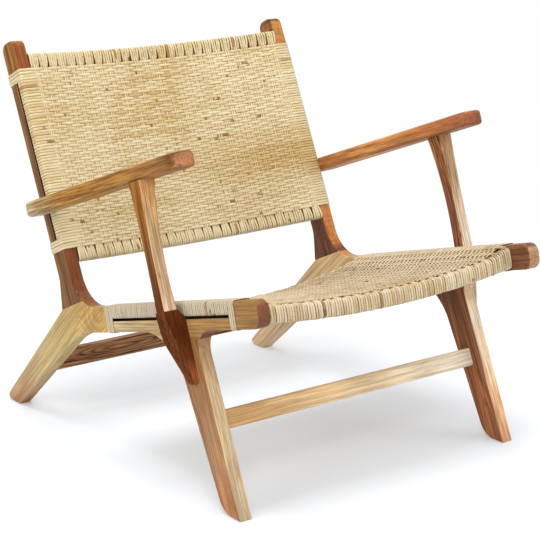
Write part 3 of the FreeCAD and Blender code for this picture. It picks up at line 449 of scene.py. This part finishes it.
# Wound rails and dowels: plain straight hardwood, cut to length, that the strands and the joints hide.
# The rails stand between the side frames on dowels of their own, and the other dowels pin the frame.
# painted shade: the wound rails are dark brown, so the gaps between their windings read dark
for hidden in ("back_top_rail", "back_bottom_rail", "seat_front_rail", "seat_rear_rail", "cross_rail_dowels"):
    timber(hidden, 0, ["5a3d22", "4e341c"], 160, (0.03, 0.04), "3a2412", 0.3, across=True, seed=8.2)
for hidden in ("knee_dowels", "leg_dowels", "rail_dowels", "arm_dowels", "foot_dowels"):
    timber(hidden, POST_LEAN, ["b28a5c", "a8804f"], 160, (0.03, 0.04), "7f5a35", 0.3, seed=8.9)

# Arm screws: zinc-plated steel, with countersunk heads in the inner face of each back post.
# They are driven outward through the post into the arm that is housed over it.
zinc, net = new_material("zinc screw")
place = net.make("ShaderNodeTexCoord", out="Object")
spangle = net.make("ShaderNodeTexNoise", None, {"Vector": place, "Scale": 900.0})
surface = net.make("ShaderNodeBsdfPrincipled", None, {
    "Base Color": spangle.mix(colour("9a9a9c"), colour("c2c2c4")), "Metallic": 1.0,
    "Roughness": 0.3 + spangle * 0.2})
net.make("ShaderNodeOutputMaterial", None, {"Surface": surface})
nodes["arm_screws"].data.materials.clear()
nodes["arm_screws"].data.materials.append(zinc)

# Woven back: rattan strand crossed over paired uprights, wound round the front bar of each slotted post.
# At both ends of the slot the strand goes round the whole post as a strap. The panel is woven front and back
# round its top and bottom rails, and those rails are bound side by side with the same strand.
PAINTED_UNDER_SHADE = (0.36, 0.25, 0.14, 1)
DRIFT_CELLS, CAST_CELLS = 22.0, 6.0  # noise cells per metre, along the strand and then through the panel
BED_CELLS, SPECK_CELLS = 5.0, 420.0
MELLOW_DRIFT, MELLOW_BED = (0.34, 0.64), (0.40, 0.65)
DRIFT_SHARE, OWN_SHARE, BED_SHARE = 0.5, 0.25, 0.3  # what mellows a strand: its run, itself and its place
GOLD_CAST, GOLD_BED, GOLD_SHARE = (0.46, 0.66), (0.36, 0.58), 0.75
PAINTED_LIGHT_HEIGHTS, PAINTED_LIGHT_SHARE = (0.32, 0.48), 0.45  # painted light: the panel is paler towards its foot, where it is less lit
GOLD_BAND_SIDE = (-0.15, 0.28)
GOLD_BAND_BELOW, GOLD_BAND_ABOVE, GOLD_BAND_INSIDE = 0.06, 0.08, 0.01  # metres over which the golden band starts and ends
GOLD_BAND_WANDER = 0.06
GOLD_BAND_LEAST = 0.3
WOUND_TONE_SHARE = 0.6
HONEY_SPELL, HONEY_STRANDS = (0.69, 0.76), (0.3, 0.5)
BROWN_TURNS, BROWN_SHARE = (0.972, 0.974), 0.7  # a few turns are brown all round
DIP_LIFT = (-0.9, 0.5)
SPECK_FADE, SPECK_LEAST, SPECK_HOLLOW = (0.54, 0.70), 0.04, 0.25
RIM_FADE, RIM_HOLLOW, RIM_WOUND = (0.62, 0.95), 0.2, 0.42  # painted shade on the strand's edges, most where wound
SKIN_DEPTH, SKIN_STRENGTH = 0.0004, 0.10
SKIN_ROUGHNESS, SPECK_ROUGHNESS = 0.42, 0.2
SKIN_GLOSS = 0.2


def rattan(name, pale, straw, golden, honey, hollow, mellow_band=None, wound_tone=None):
    """Natural rattan core: a satin strand whose colour drifts along it from pale to straw and golden, with
    honey brown spells, and with painted shade, by hollow, where it dips under another, at its edges and in
    small dark specks. Between the heights of mellow_band it turns golden towards the right, and lower down it
    is paler as painted light; the optional last tone colours it where it is wound on the frame."""
    material, net = new_material(name)
    tone, run, lift, rim, wound = [net.make("ShaderNodeAttribute", {"attribute_name": mark}, out="Fac")
                                   for mark in ("tone", "run", "lift", "rim", "wound")]
    place = net.make("ShaderNodeTexCoord", out="Object")

    def strand_noise(stretch, shift):
        spot = net.make("ShaderNodeCombineXYZ", None, {0: run * stretch, 1: tone * 97.0 + shift})
        return net.make("ShaderNodeTexNoise", {"noise_dimensions": "2D"}, {
            "Vector": spot, "Scale": 1.0, "Detail": 2.0})

    def spot_noise(cells):
        return net.make("ShaderNodeTexNoise", {"noise_dimensions": "3D"}, {
            "Vector": place, "Scale": cells, "Detail": 2.0})

    drift = strand_noise(DRIFT_CELLS, 0.0)
    cast = strand_noise(CAST_CELLS, 40.0)
    bed = spot_noise(BED_CELLS)
    speck = spot_noise(SPECK_CELLS)
    mellow = (drift.smooth(*MELLOW_DRIFT) * DRIFT_SHARE + tone * OWN_SHARE
              + bed.smooth(*MELLOW_BED) * BED_SHARE)
    base = mellow.clamp(0.0, 1.0).mix(colour(pale), colour(straw))
    base = (cast.smooth(*GOLD_CAST) * bed.smooth(*GOLD_BED) * GOLD_SHARE).mix(base, colour(golden))
    if mellow_band:
        low, high = mellow_band
        sideways, upward = place.axis(0), place.axis(2)
        # painted light: paler low down, where the panel is less lit
        base = ((1 - upward.smooth(*PAINTED_LIGHT_HEIGHTS)) * PAINTED_LIGHT_SHARE).mix(base, colour(pale))
        upward = upward + (bed - 0.5) * GOLD_BAND_WANDER
        golden_band = (upward.smooth(low - GOLD_BAND_BELOW, low + GOLD_BAND_INSIDE)
                * (1 - upward.smooth(high - GOLD_BAND_INSIDE, high + GOLD_BAND_ABOVE)))
        golden_band = golden_band * sideways.smooth(*GOLD_BAND_SIDE)
        base = (golden_band * (GOLD_BAND_LEAST + cast)).clamp(0.0, 1.0).mix(base, colour(golden))
    if wound_tone:
        base = (wound * WOUND_TONE_SHARE).mix(base, colour(wound_tone))
    brown = (drift.smooth(*HONEY_SPELL) * tone.smooth(*HONEY_STRANDS)
             + tone.smooth(*BROWN_TURNS) * wound * BROWN_SHARE)
    base = brown.clamp(0.0, 1.0).mix(base, colour(honey))
    # painted shade: darker where the strand dips under another, at its edges and in small specks
    painted_shade = ((1 - lift.smooth(*DIP_LIFT)) * hollow
           + speck.smooth(*SPECK_FADE) * (SPECK_LEAST + SPECK_HOLLOW * hollow)
           + rim.smooth(*RIM_FADE) * (hollow * RIM_HOLLOW + wound * RIM_WOUND))
    base = painted_shade.clamp(0.0, 1.0).mix(base, PAINTED_UNDER_SHADE, "MULTIPLY")
    bump = net.make("ShaderNodeBump", None, {
        "Strength": SKIN_STRENGTH, "Distance": SKIN_DEPTH, "Height": speck})
    surface = net.make("ShaderNodeBsdfPrincipled", None, {
        "Base Color": base, "Roughness": SKIN_ROUGHNESS + speck * SPECK_ROUGHNESS, "Normal": bump,
        "Specular IOR Level": SKIN_GLOSS})
    net.make("ShaderNodeOutputMaterial", None, {"Surface": surface})
    return material


class StrandTree(Wire):
    """A Geometry Nodes tree that gives one strand geometry from named sizes."""

    def __init__(self, name, inputs):
        super().__init__(bpy.data.node_groups.new(name, "GeometryNodeTree"))
        self.tree.interface.new_socket("Strands", in_out="OUTPUT", socket_type="NodeSocketGeometry")
        for label, kind in inputs.items():
            self.tree.interface.new_socket(label, in_out="INPUT", socket_type="NodeSocket" + kind)

    def given(self, label):
        """One of the named sizes."""
        return self.make("NodeGroupInput", out=label)

    def chance(self, ident, seed, low, high):
        """One random number per strand."""
        return self.make("FunctionNodeRandomValue", {"data_type": "FLOAT"},
                         {2: low, 3: high, 7: ident, 8: self.given("Seed") + seed}, 1)

    def point(self, x, y=0.0, z=0.0):
        return self.make("ShaderNodeCombineXYZ", None, {0: x, 1: y, 2: z})

    def lay(self, curves, x, y, z):
        """Puts every point of the curves in its place."""
        return self.make("GeometryNodeSetPosition", None, {
            "Geometry": curves, "Position": self.point(x, y, z)})

    def mark(self, geometry, label, value):
        """Writes a value on every point, for the material to read."""
        return self.make("GeometryNodeStoreNamedAttribute", {"data_type": "FLOAT", "domain": "POINT"},
                         {"Geometry": geometry, "Name": label, "Value": value})


def grow(name, net, sizes, *stands_for):
    """Runs a strand tree with these sizes and keeps the strands as one plain mesh on the chair."""
    piece = bpy.data.objects.new(name, bpy.data.meshes.new(name + " start"))
    scene.collection.objects.link(piece)
    modifier = piece.modifiers.new("strands", "NODES")
    modifier.node_group = net.tree
    for item in net.tree.interface.items_tree:
        if item.in_out == "INPUT":
            modifier[item.identifier] = sizes[item.name]
    ready = piece.evaluated_get(bpy.context.evaluated_depsgraph_get())
    strands = bpy.data.meshes.new_from_object(ready)
    piece.modifiers.remove(modifier)
    piece.data = strands
    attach(piece, "root")
    if stands_for:
        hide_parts(*stands_for)


SECTION_POINTS = 8
FLATTENING = 1.3  # the round section is cut off flat on two sides


def strand_mesh(net, curves, marks, turn=(0, 0, 0)):
    """Marks placed curves for the material, gives them a flattened section and turns them into place."""
    for label, value in marks.items():
        curves = net.mark(curves, label, value)
    curves = net.make("GeometryNodeSetCurveNormal", {"mode": "Z_UP"}, {"Curve": curves})
    half_section = net.point(net.given("Thickness") * 0.5, net.given("Width") * 0.5, 1.0)
    section = net.make("GeometryNodeCurvePrimitiveCircle", {"mode": "RADIUS"}, {
        "Resolution": SECTION_POINTS, "Radius": 1.0})
    spot = net.make("GeometryNodeInputPosition")
    # rim marks the edges of the section, which the rattan darkens as painted shade
    section = net.mark(section, "rim", net.math("ABSOLUTE", spot.axis(1)))
    flattened = net.point((spot.axis(0) * FLATTENING).clamp(-1.0, 1.0), spot.axis(1))
    section = net.make("GeometryNodeSetPosition", None, {"Geometry": section, "Position": flattened})
    section = net.make("GeometryNodeTransform", None, {"Geometry": section, "Scale": half_section})
    body = net.make("GeometryNodeCurveToMesh", None, {
        "Curve": curves, "Profile Curve": section, "Fill Caps": True})
    body = net.make("GeometryNodeTransform", None, {"Geometry": body, "Rotation": turn})
    body = net.make("GeometryNodeTransform", None, {
        "Geometry": body, "Rotation": net.point(net.given("Lean")), "Translation": net.given("Place")})
    body = net.make("GeometryNodeSetShadeSmooth", None, {"Geometry": body})
    body = net.make("GeometryNodeRealizeInstances", None, {"Geometry": body})
    body = net.make("GeometryNodeSetMaterial", None, {"Geometry": body, "Material": net.given("Material")})
    net.make("NodeGroupOutput", None, {"Strands": body})


def strand_curves(net, count, points, closed=False):
    """So many separate curves of so many points, with the strand's number and the point's number on it."""
    if closed:
        curve = net.make("GeometryNodeCurvePrimitiveCircle", {"mode": "RADIUS"}, {"Resolution": points})
    else:
        curve = net.make("GeometryNodeCurvePrimitiveLine", None, {"End": (1.0, 0.0, 0.0)})
        curve = net.make("GeometryNodeResampleCurve", {"mode": "COUNT"}, {"Curve": curve, "Count": points})
    spots = net.make("GeometryNodeMeshLine", None, {"Count": count})
    copies = net.make("GeometryNodeInstanceOnPoints", None, {"Points": spots, "Instance": curve})
    curves = net.make("GeometryNodeRealizeInstances", None, {"Geometry": copies})
    index = net.make("GeometryNodeInputIndex")
    strand = net.math("FLOOR", (index + 0.5) / points)
    return curves, strand, index - strand * points


def waver(net, first, second):
    """A slow random swing, 0 to 1, over two numbers."""
    return net.make("ShaderNodeTexNoise", {"noise_dimensions": "2D"}, {
        "Vector": net.point(first, second), "Scale": 1.0})


PANEL = {"Lean": "Float", "Place": "Vector", "Panel Half": "Float", "Level": "Float", "Level Slope": "Float",
         "Bow": "Float", "Bow Slope": "Float", "Bar Top": "Float", "Rise Width": "Float",
         "Column Pitch": "Float", "Width": "Float", "Thickness": "Float", "Face": "Float", "Seed": "Int",
         "Material": "Material"}


def panel_level(net, across, side):
    """Height of the woven surface at a place across the chair and along the panel."""
    level = net.given("Level") + net.given("Level Slope") * side
    bow = net.given("Bow") + net.given("Bow Slope") * side
    ratio = across / net.given("Panel Half")
    hollow = net.math("MAXIMUM", 1 - ratio * ratio, 0.0)
    slope_start = net.given("Panel Half") - net.given("Rise Width")
    rise = net.math("ABSOLUTE", across).smooth(slope_start, net.given("Panel Half"))
    return level - bow * hollow + (net.given("Bar Top") - level) * rise


# Crossing strands: split rattan that runs over and under the upright pairs from side to side.
# At both ends it turns over the frame's bar, goes down its outer side and tucks in under it.
QUARTER = math.pi / 2
ROW_SLIP = 0.0003  # a row lies up to this far off its place, and swings by this much along its length
ROW_SWING = 0.0012
ROW_SWING_CELLS, ROW_SWING_STEP = 22.0, 0.45
EDGE_EASE = 0.008  # this near to the frame the strand no longer goes over and under
STEEPNESS = 2.2  # how briskly it changes from over to under
SLOPE_CALM = 0.65  # how much less it does so on the slope up to the bar
SLOPE_START, SLOPE_FULL = 1.3, 0.3  # where the slope starts and is full, in its own widths
THIN, FAT = 0.92, 1.08
EDGE_WOUND = 0.85  # how much like a winding the strand's end is coloured, painted edge shade included
crossing = net = StrandTree("crossing strands", dict(PANEL, **{
    "Rows": "Int", "Points": "Int", "Step": "Float", "First Row": "Float", "Row Pitch": "Float",
    "Lift": "Float", "Linger": "Float", "Flat Half": "Float", "Corner": "Float", "Drop": "Float",
    "Turn": "Float", "Phase": "Float"}))
points, panel_half, rise_width = [net.given(size) for size in ("Points", "Panel Half", "Rise Width")]
flat_half, corner, drop, turn = [net.given(size) for size in ("Flat Half", "Corner", "Drop", "Turn")]
curves, row, point = strand_curves(net, net.given("Rows"), points)
travel = (point - (points - 1) * 0.5) * net.given("Step")
reach = net.math("ABSOLUTE", travel)
past_flat = net.math("MAXIMUM", reach - flat_half, 0.0)
first_turn = net.math("MINIMUM", past_flat / corner, QUARTER)
past_corner = net.math("MAXIMUM", past_flat - corner * QUARTER, 0.0)
down = net.math("MINIMUM", past_corner, drop)
past_drop = net.math("MAXIMUM", past_corner - drop, 0.0)
second_turn = net.math("MINIMUM", past_drop / turn, QUARTER)
inward = net.math("MAXIMUM", past_drop - turn * QUARTER, 0.0)
out_x = (net.math("MINIMUM", reach, flat_half) + corner * net.math("SINE", first_turn)
         - turn * (1 - net.math("COSINE", second_turn)) - inward)
across = out_x * net.math("SIGN", travel)
slip = net.chance(row, 0, -ROW_SLIP, ROW_SLIP)
swing = (waver(net, travel * ROW_SWING_CELLS, row * ROW_SWING_STEP) - 0.5) * ROW_SWING
side = (net.given("First Row") + row * net.given("Row Pitch") + slip + swing) * -1.0
inside = 1 - reach.smooth(panel_half - EDGE_EASE, panel_half)
wave = net.math("COSINE", (travel / net.given("Column Pitch") + row + net.given("Phase")) * math.pi)
calm = 1 - SLOPE_CALM * reach.smooth(
    panel_half - rise_width * SLOPE_START, panel_half - rise_width * SLOPE_FULL)
over = ((wave + net.given("Linger") * net.given("Face")) * STEEPNESS).clamp(-1.0, 1.0) * inside * calm
height = (panel_level(net, across, side) + over * net.given("Lift")
          - corner * (1 - net.math("COSINE", first_turn)) - down - turn * net.math("SINE", second_turn))
curves = net.lay(curves, across, height, side)
girth = net.chance(row, 7, THIN, FAT)
curves = net.make("GeometryNodeSetCurveRadius", None, {"Curve": curves, "Radius": girth})
# lift and wound also set the rattan's painted shade, under the crossings and on the wound ends
strand_mesh(net, curves, {
    "tone": net.chance(row, 3, 0.0, 1.0), "run": travel, "lift": over * net.given("Face") + (1 - inside),
    "wound": (1 - inside) * EDGE_WOUND})

# Uprights: split rattan in pairs from rail to rail, which the crossing strands bend round.
# Their ends tuck in under the windings of the rails.
UPRIGHT_SWING = 0.0022
UPRIGHT_SWING_STEP, UPRIGHT_SWING_OWN = 0.10, 0.9
END_TUCK = 0.0016
uprights = net = StrandTree("upright pairs", dict(PANEL, **{
    "Columns": "Int", "Points": "Int", "First Row": "Float", "Row Pitch": "Float", "Lift": "Float",
    "Pair Half": "Float", "Lead": "Int", "Phase": "Float"}))
curves, strand, point = strand_curves(net, net.given("Columns") * 2.0, net.given("Points"))
column = net.math("FLOOR", (strand + 0.5) * 0.5)
twin = (strand - column * 2.0) * 2.0 - 1
number = column - (net.given("Columns") - 1) * 0.5
swing = (waver(net, point * UPRIGHT_SWING_STEP, strand * UPRIGHT_SWING_OWN) - 0.5) * UPRIGHT_SWING
across = number * net.given("Column Pitch") + twin * net.given("Pair Half") + swing
row = point - net.given("Lead")
along = net.given("First Row") + row * net.given("Row Pitch")
over = net.math("COSINE", (number + row + net.given("Phase") + 1) * math.pi)
ends = net.math("MINIMUM", point, net.given("Points") - 1 - point)
tuck = (1 - ends.smooth(0.0, net.given("Lead"))) * END_TUCK
height = panel_level(net, across, along * -1.0) + over * net.given("Lift") - tuck
curves = net.lay(curves, along, height, across)
# lift and wound set the rattan's painted shade: darker where the upright dips, with a little on its edges
strand_mesh(net, curves, {
    "tone": net.chance(strand, 3, 0.0, 1.0), "run": along, "lift": over * net.given("Face") * 0.5 + 0.5,
    "wound": 0.2}, (0, math.radians(90), 0))

# Rail windings: rattan strand wound side by side round a hollowed rail, as closed turns.
# The turns stand in groups between the uprights, which draw together on the woven side.
BOX_ROUNDING = 0.42  # the turn is a rounded box and no ellipse
TURN_SLIP = 0.0004
TURN_SINK = 0.0009
PINCH_LEAST, PINCH_MOST = 0.1, 1.8
DRAWN_ALONG, DRAWN_OUT = (-0.6, 1.0), (-0.2, 0.6)  # the part of the turn that is drawn together
WOVEN_TUCK = 0.0030  # a drawn group lies this much deeper
END_ZONE = 0.06  # the rail rises to the frame over this width
TURN_RUN = 0.03  # metres of strand to a radian, for its colour
windings = net = StrandTree("rail windings", {
    "Groups": "Int", "Per Group": "Int", "Points": "Int", "Column Pitch": "Float", "Strand Pitch": "Float",
    "Half Deep": "Float", "Half High": "Float", "Centre Out": "Float", "Centre Along": "Float",
    "Panel Half": "Float", "Bow": "Float", "Woven Side": "Float", "Pinch": "Float", "End Rise": "Float",
    "Lean": "Float", "Place": "Vector", "Width": "Float", "Thickness": "Float", "Seed": "Int",
    "Material": "Material"})
groups, per_group, points, panel_half = [net.given(size) for size in (
    "Groups", "Per Group", "Points", "Panel Half")]
curves, strand, point = strand_curves(net, groups * per_group, points, closed=True)
bunch = net.math("FLOOR", (strand + 0.5) / per_group)
centre = (bunch - (groups - 1) * 0.5) * net.given("Column Pitch")
within = strand - bunch * per_group - (per_group - 1) * 0.5
angle = point / points * (2 * math.pi)


def rounded(wave):
    """Squares up a sine or cosine, for a rounded box in place of an ellipse."""
    return wave.math("SIGN", wave) * wave.math("POWER", wave.math("ABSOLUTE", wave), BOX_ROUNDING)


out_wave = rounded(net.math("COSINE", angle))
side_wave = rounded(net.math("SINE", angle))
drawn = (side_wave * net.given("Woven Side")).smooth(*DRAWN_ALONG) * out_wave.smooth(*DRAWN_OUT)
slip = net.chance(strand, 0, -TURN_SLIP, TURN_SLIP)
sink = net.chance(strand, 9, 0.0, TURN_SINK)
pinch = net.given("Pinch") * net.chance(bunch, 5, PINCH_LEAST, PINCH_MOST)
across = centre + within * net.given("Strand Pitch") * (1 - drawn * pinch) + slip
ratio = across / panel_half
ends = net.math("ABSOLUTE", across).smooth(panel_half - END_ZONE, panel_half)
rise = out_wave.smooth(0.0, 1.0) * ends * net.given("End Rise")
out = (net.given("Centre Out") - net.given("Bow") * (1 - ratio * ratio)
       + out_wave * (net.given("Half Deep") - sink) - drawn * WOVEN_TUCK + rise)
side = side_wave * net.given("Half High") - net.given("Centre Along")
curves = net.lay(curves, out, side, across)
# lift and wound set the rattan's painted shade: full edge shade on every turn, a little more where turns are
# drawn together
strand_mesh(net, curves, {
    "tone": net.chance(strand, 3, 0.0, 1.0), "run": angle * TURN_RUN, "lift": 0.6 - drawn * 0.2,
    "wound": 1.0}, (math.radians(90), 0, math.radians(90)))

# Back panel: the woven back's rattan in its place, front and rear, with a strap at each end of the slot.
# The rear layer is the same weave behind the rails, and stops at the posts.
clear_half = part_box("back_top_rail")[1][0]
frame_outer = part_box("right_side_rail")[1][0]
COLUMNS = 27
COLUMN_PITCH = 2 * clear_half / COLUMNS
ROW_PITCH = 0.0055
STRAND_WIDE = 0.0057
STRAND_THICK = 0.0017
BACK_BOW = 0.026
BAR_LIFT = 0.0013  # the strand's middle lies this far off the frame's bar
GOLD_BAND_HEIGHTS = (0.450, 0.462)
back_rattan = rattan("back rattan", "dacca8", "c9b07d", "b6965a", "94642f", 0.45, GOLD_BAND_HEIGHTS)
upright_rattan = rattan("upright rattan", "dccdac", "ccb688", "bd9c60", "94642f", 0.45, GOLD_BAND_HEIGHTS)
back_panel = {
    "Lean": math.pi - math.radians(BACK_RECLINE), "Place": back_place, "Panel Half": clear_half,
    "Level": 0.0012, "Level Slope": 0.0, "Bow": BACK_BOW, "Bow Slope": 0.0, "Bar Top": BAR_LIFT,
    "Rise Width": 0.02, "Lift": 0.0006, "Linger": 0.45, "Column Pitch": COLUMN_PITCH, "Row Pitch": ROW_PITCH,
    "Width": STRAND_WIDE, "Thickness": STRAND_THICK, "Face": 1.0, "Material": back_rattan}

TURN_OVER = 0.0040  # radius of the strand's turn over the frame, and of its turn back under the bar
TURN_UNDER = 0.0020
FRAME_CLEARANCE = 0.0007
STOP_SHORT = 0.002
WOUND_STEPS, PLAIN_STEPS = 6, 4  # points to a column


def crossing_rows(name, panel, start, rows, skip, drop, tail, seed, *stands_for):
    """A run of crossing strands, skip rows on from the panel's first, wound down by drop and inward by tail.
    With no drop they stop at the frame."""
    flat = frame_outer + FRAME_CLEARANCE - TURN_OVER
    step = COLUMN_PITCH / (WOUND_STEPS if drop else PLAIN_STEPS)
    length = flat + (TURN_OVER + TURN_UNDER) * QUARTER + drop + tail if drop else clear_half - STOP_SHORT
    grow(name, crossing, dict(panel, **{
        "Rows": rows, "Points": 2 * round(length / step) + 1, "Step": step,
        "First Row": start + skip * ROW_PITCH, "Flat Half": flat, "Corner": TURN_OVER, "Drop": drop,
        "Turn": TURN_UNDER, "Seed": seed, "Phase": float(skip)}), *stands_for)


LEAD = 3  # rows by which the uprights run on


def upright_pairs(name, panel, start, rows, seed):
    """The paired uprights of one layer, running a little past the first and last rows on to the rails."""
    grow(name, uprights, dict(panel, **{
        "Columns": COLUMNS, "Points": rows + 2 * LEAD, "First Row": start, "Lift": 0.0004,
        "Pair Half": 0.0023, "Lead": LEAD, "Width": 0.0034, "Thickness": 0.0018, "Seed": seed,
        "Phase": 0.0, "Material": upright_rattan}))


TURNS_PER_GROUP = 4
TURN_POINTS = 20
TURN_GAP = 0.0001


def rail_windings(name, panel, material, deep, high, out, along, bow, woven_side, pinch, end_rise, seed):
    """Turns round one rail, four to each pair of uprights."""
    grow(name, windings, {
        "Groups": COLUMNS, "Per Group": TURNS_PER_GROUP, "Points": TURN_POINTS, "Column Pitch": COLUMN_PITCH,
        "Strand Pitch": COLUMN_PITCH / TURNS_PER_GROUP - TURN_GAP, "Half Deep": deep, "Half High": high,
        "Centre Out": out, "Centre Along": along, "Panel Half": clear_half, "Bow": bow,
        "Woven Side": woven_side, "Pinch": pinch, "End Rise": end_rise, "Lean": panel["Lean"],
        "Place": panel["Place"], "Width": 0.0052, "Thickness": 0.0020, "Seed": seed, "Material": material})


POST_DEPTH, POST_BAR = 0.046, 0.017
BACK_START, BACK_ROWS, STRAP_ROWS = 0.1165, 64, 4
BACK_RAIL_LOW, BACK_RAIL_HIGH, BACK_RAIL_OUT = 0.1045, 0.4795, -0.0083
BACK_RAIL_DEEP = 0.0112
WOUND_TAIL, STRAP_TAIL = 0.012, 0.018
BACK_TURN_ROOM, STRAP_TURN_ROOM = 0.0048, 0.004  # what the two turns take of the timber's depth
back_drop = POST_BAR - BACK_TURN_ROOM
back_strap_drop = POST_DEPTH - STRAP_TURN_ROOM
crossing_rows("back_strands", back_panel, BACK_START, BACK_ROWS - 2 * STRAP_ROWS, STRAP_ROWS, back_drop,
              WOUND_TAIL, 11, "back_weave", "left_back_binding", "right_back_binding")
crossing_rows("back_low_strap", back_panel, BACK_START, STRAP_ROWS, 0, back_strap_drop, STRAP_TAIL, 12)
crossing_rows("back_high_strap", back_panel, BACK_START, STRAP_ROWS, BACK_ROWS - STRAP_ROWS, back_strap_drop,
              STRAP_TAIL, 13)
upright_pairs("back_uprights", back_panel, BACK_START, BACK_ROWS, 21)
rail_windings("back_top_windings", back_panel, back_rattan, deep=BACK_RAIL_DEEP, high=0.0150,
              out=BACK_RAIL_OUT, along=BACK_RAIL_HIGH, bow=BACK_BOW, woven_side=1.0, pinch=0.16,
              end_rise=0.0, seed=31)
rail_windings("back_bottom_windings", back_panel, back_rattan, deep=BACK_RAIL_DEEP, high=0.0160,
              out=BACK_RAIL_OUT, along=BACK_RAIL_LOW, bow=BACK_BOW, woven_side=-1.0, pinch=0.20,
              end_rise=0.0, seed=32)
BACK_REAR_LEVEL = -0.0178
back_rear = dict(back_panel, **{"Level": BACK_REAR_LEVEL, "Bar Top": BACK_REAR_LEVEL, "Face": -1.0})
crossing_rows("back_rear_strands", back_rear, BACK_START, BACK_ROWS, 0, 0.0, 0.0, 14)
upright_pairs("back_rear_uprights", back_rear, BACK_START, BACK_ROWS, 22)

# Woven seat: the same weave slung between the front and rear rails, a little greyer from handling.
# The strands are wound round the top bar of each slotted side rail, with a strap round the rail at each end.
# The underside is a second layer of the weave below the rails.
seat_rattan = rattan("seat rattan", "d6c6aa", "bca580", "ad8f5e", "80583a", 1.4, wound_tone="c0b9a5")
winding_rattan = rattan("seat winding rattan", "e2d3b6", "cab38c", "b99a68", "8a6038", 0.85)
FRONT_RAIL, REAR_RAIL = 0.0590, 0.4635
FRONT_SAG, REAR_SAG = 0.020, 0.034
FRONT_LEVEL, REAR_LEVEL = 0.0346, 0.0441
sag_slope = (REAR_SAG - FRONT_SAG) / (REAR_RAIL - FRONT_RAIL)
level_slope = (REAR_LEVEL - FRONT_LEVEL) / (REAR_RAIL - FRONT_RAIL)
seat_panel = dict(back_panel, **{
    "Lean": math.pi / 2 - math.radians(SEAT_PITCH), "Place": seat_place,
    "Level": FRONT_LEVEL - FRONT_RAIL * level_slope, "Level Slope": -level_slope,
    "Bow": FRONT_SAG - FRONT_RAIL * sag_slope, "Bow Slope": -sag_slope, "Bar Top": RAIL_DEPTH + BAR_LIFT,
    "Rise Width": 0.060, "Lift": 0.0014, "Linger": 0.0, "Width": 0.0053, "Material": seat_rattan})
SEAT_START, SEAT_ROWS = 0.0620, 74
RAIL_BAR = 0.0205
FRONT_STRAP_ROWS, FRONT_HALF_ROWS = 3, 34
rear_half_start = FRONT_STRAP_ROWS + FRONT_HALF_ROWS
rear_strap_start = SEAT_ROWS - STRAP_ROWS
SEAT_TURN_ROOM = 0.0041
seat_drop = RAIL_BAR - SEAT_TURN_ROOM
seat_strap_drop = RAIL_DEPTH - STRAP_TURN_ROOM
crossing_rows("seat_front_strands", seat_panel, SEAT_START, FRONT_HALF_ROWS, FRONT_STRAP_ROWS, seat_drop,
              WOUND_TAIL, 41, "seat_weave", "left_seat_binding", "right_seat_binding")
crossing_rows("seat_rear_strands", seat_panel, SEAT_START, rear_strap_start - rear_half_start,
              rear_half_start, seat_drop, WOUND_TAIL, 45)
crossing_rows("seat_front_strap", seat_panel, SEAT_START, FRONT_STRAP_ROWS, 0, seat_strap_drop, STRAP_TAIL,
              42)
crossing_rows("seat_rear_strap", seat_panel, SEAT_START, STRAP_ROWS, rear_strap_start, seat_strap_drop,
              STRAP_TAIL, 43)
upright_pairs("seat_uprights", seat_panel, SEAT_START, SEAT_ROWS, 51)
SEAT_RAIL_DEEP, SEAT_RAIL_HIGH = 0.0148, 0.0161
rail_windings("seat_front_windings", seat_panel, winding_rattan, deep=SEAT_RAIL_DEEP, high=SEAT_RAIL_HIGH,
              out=0.0190, along=FRONT_RAIL, bow=FRONT_SAG, woven_side=-1.0, pinch=0.10, end_rise=0.009,
              seed=61)
rail_windings("seat_rear_windings", seat_panel, winding_rattan, deep=SEAT_RAIL_DEEP, high=SEAT_RAIL_HIGH,
              out=0.0280, along=REAR_RAIL, bow=REAR_SAG, woven_side=1.0, pinch=0.2, end_rise=0.003,
              seed=62)
UNDER_DROP = 0.0290
UNDER_SKIP = 3
seat_under = dict(seat_panel, **{
    "Level": seat_panel["Level"] - UNDER_DROP, "Bar Top": 0.010, "Rise Width": 0.001, "Face": -1.0})
under_start = SEAT_START + UNDER_SKIP * ROW_PITCH
under_rows = SEAT_ROWS - 2 * UNDER_SKIP
crossing_rows("seat_under_strands", seat_under, under_start, under_rows, 0, 0.0, 0.0, 44)
upright_pairs("seat_under_uprights", seat_under, under_start, under_rows, 52)
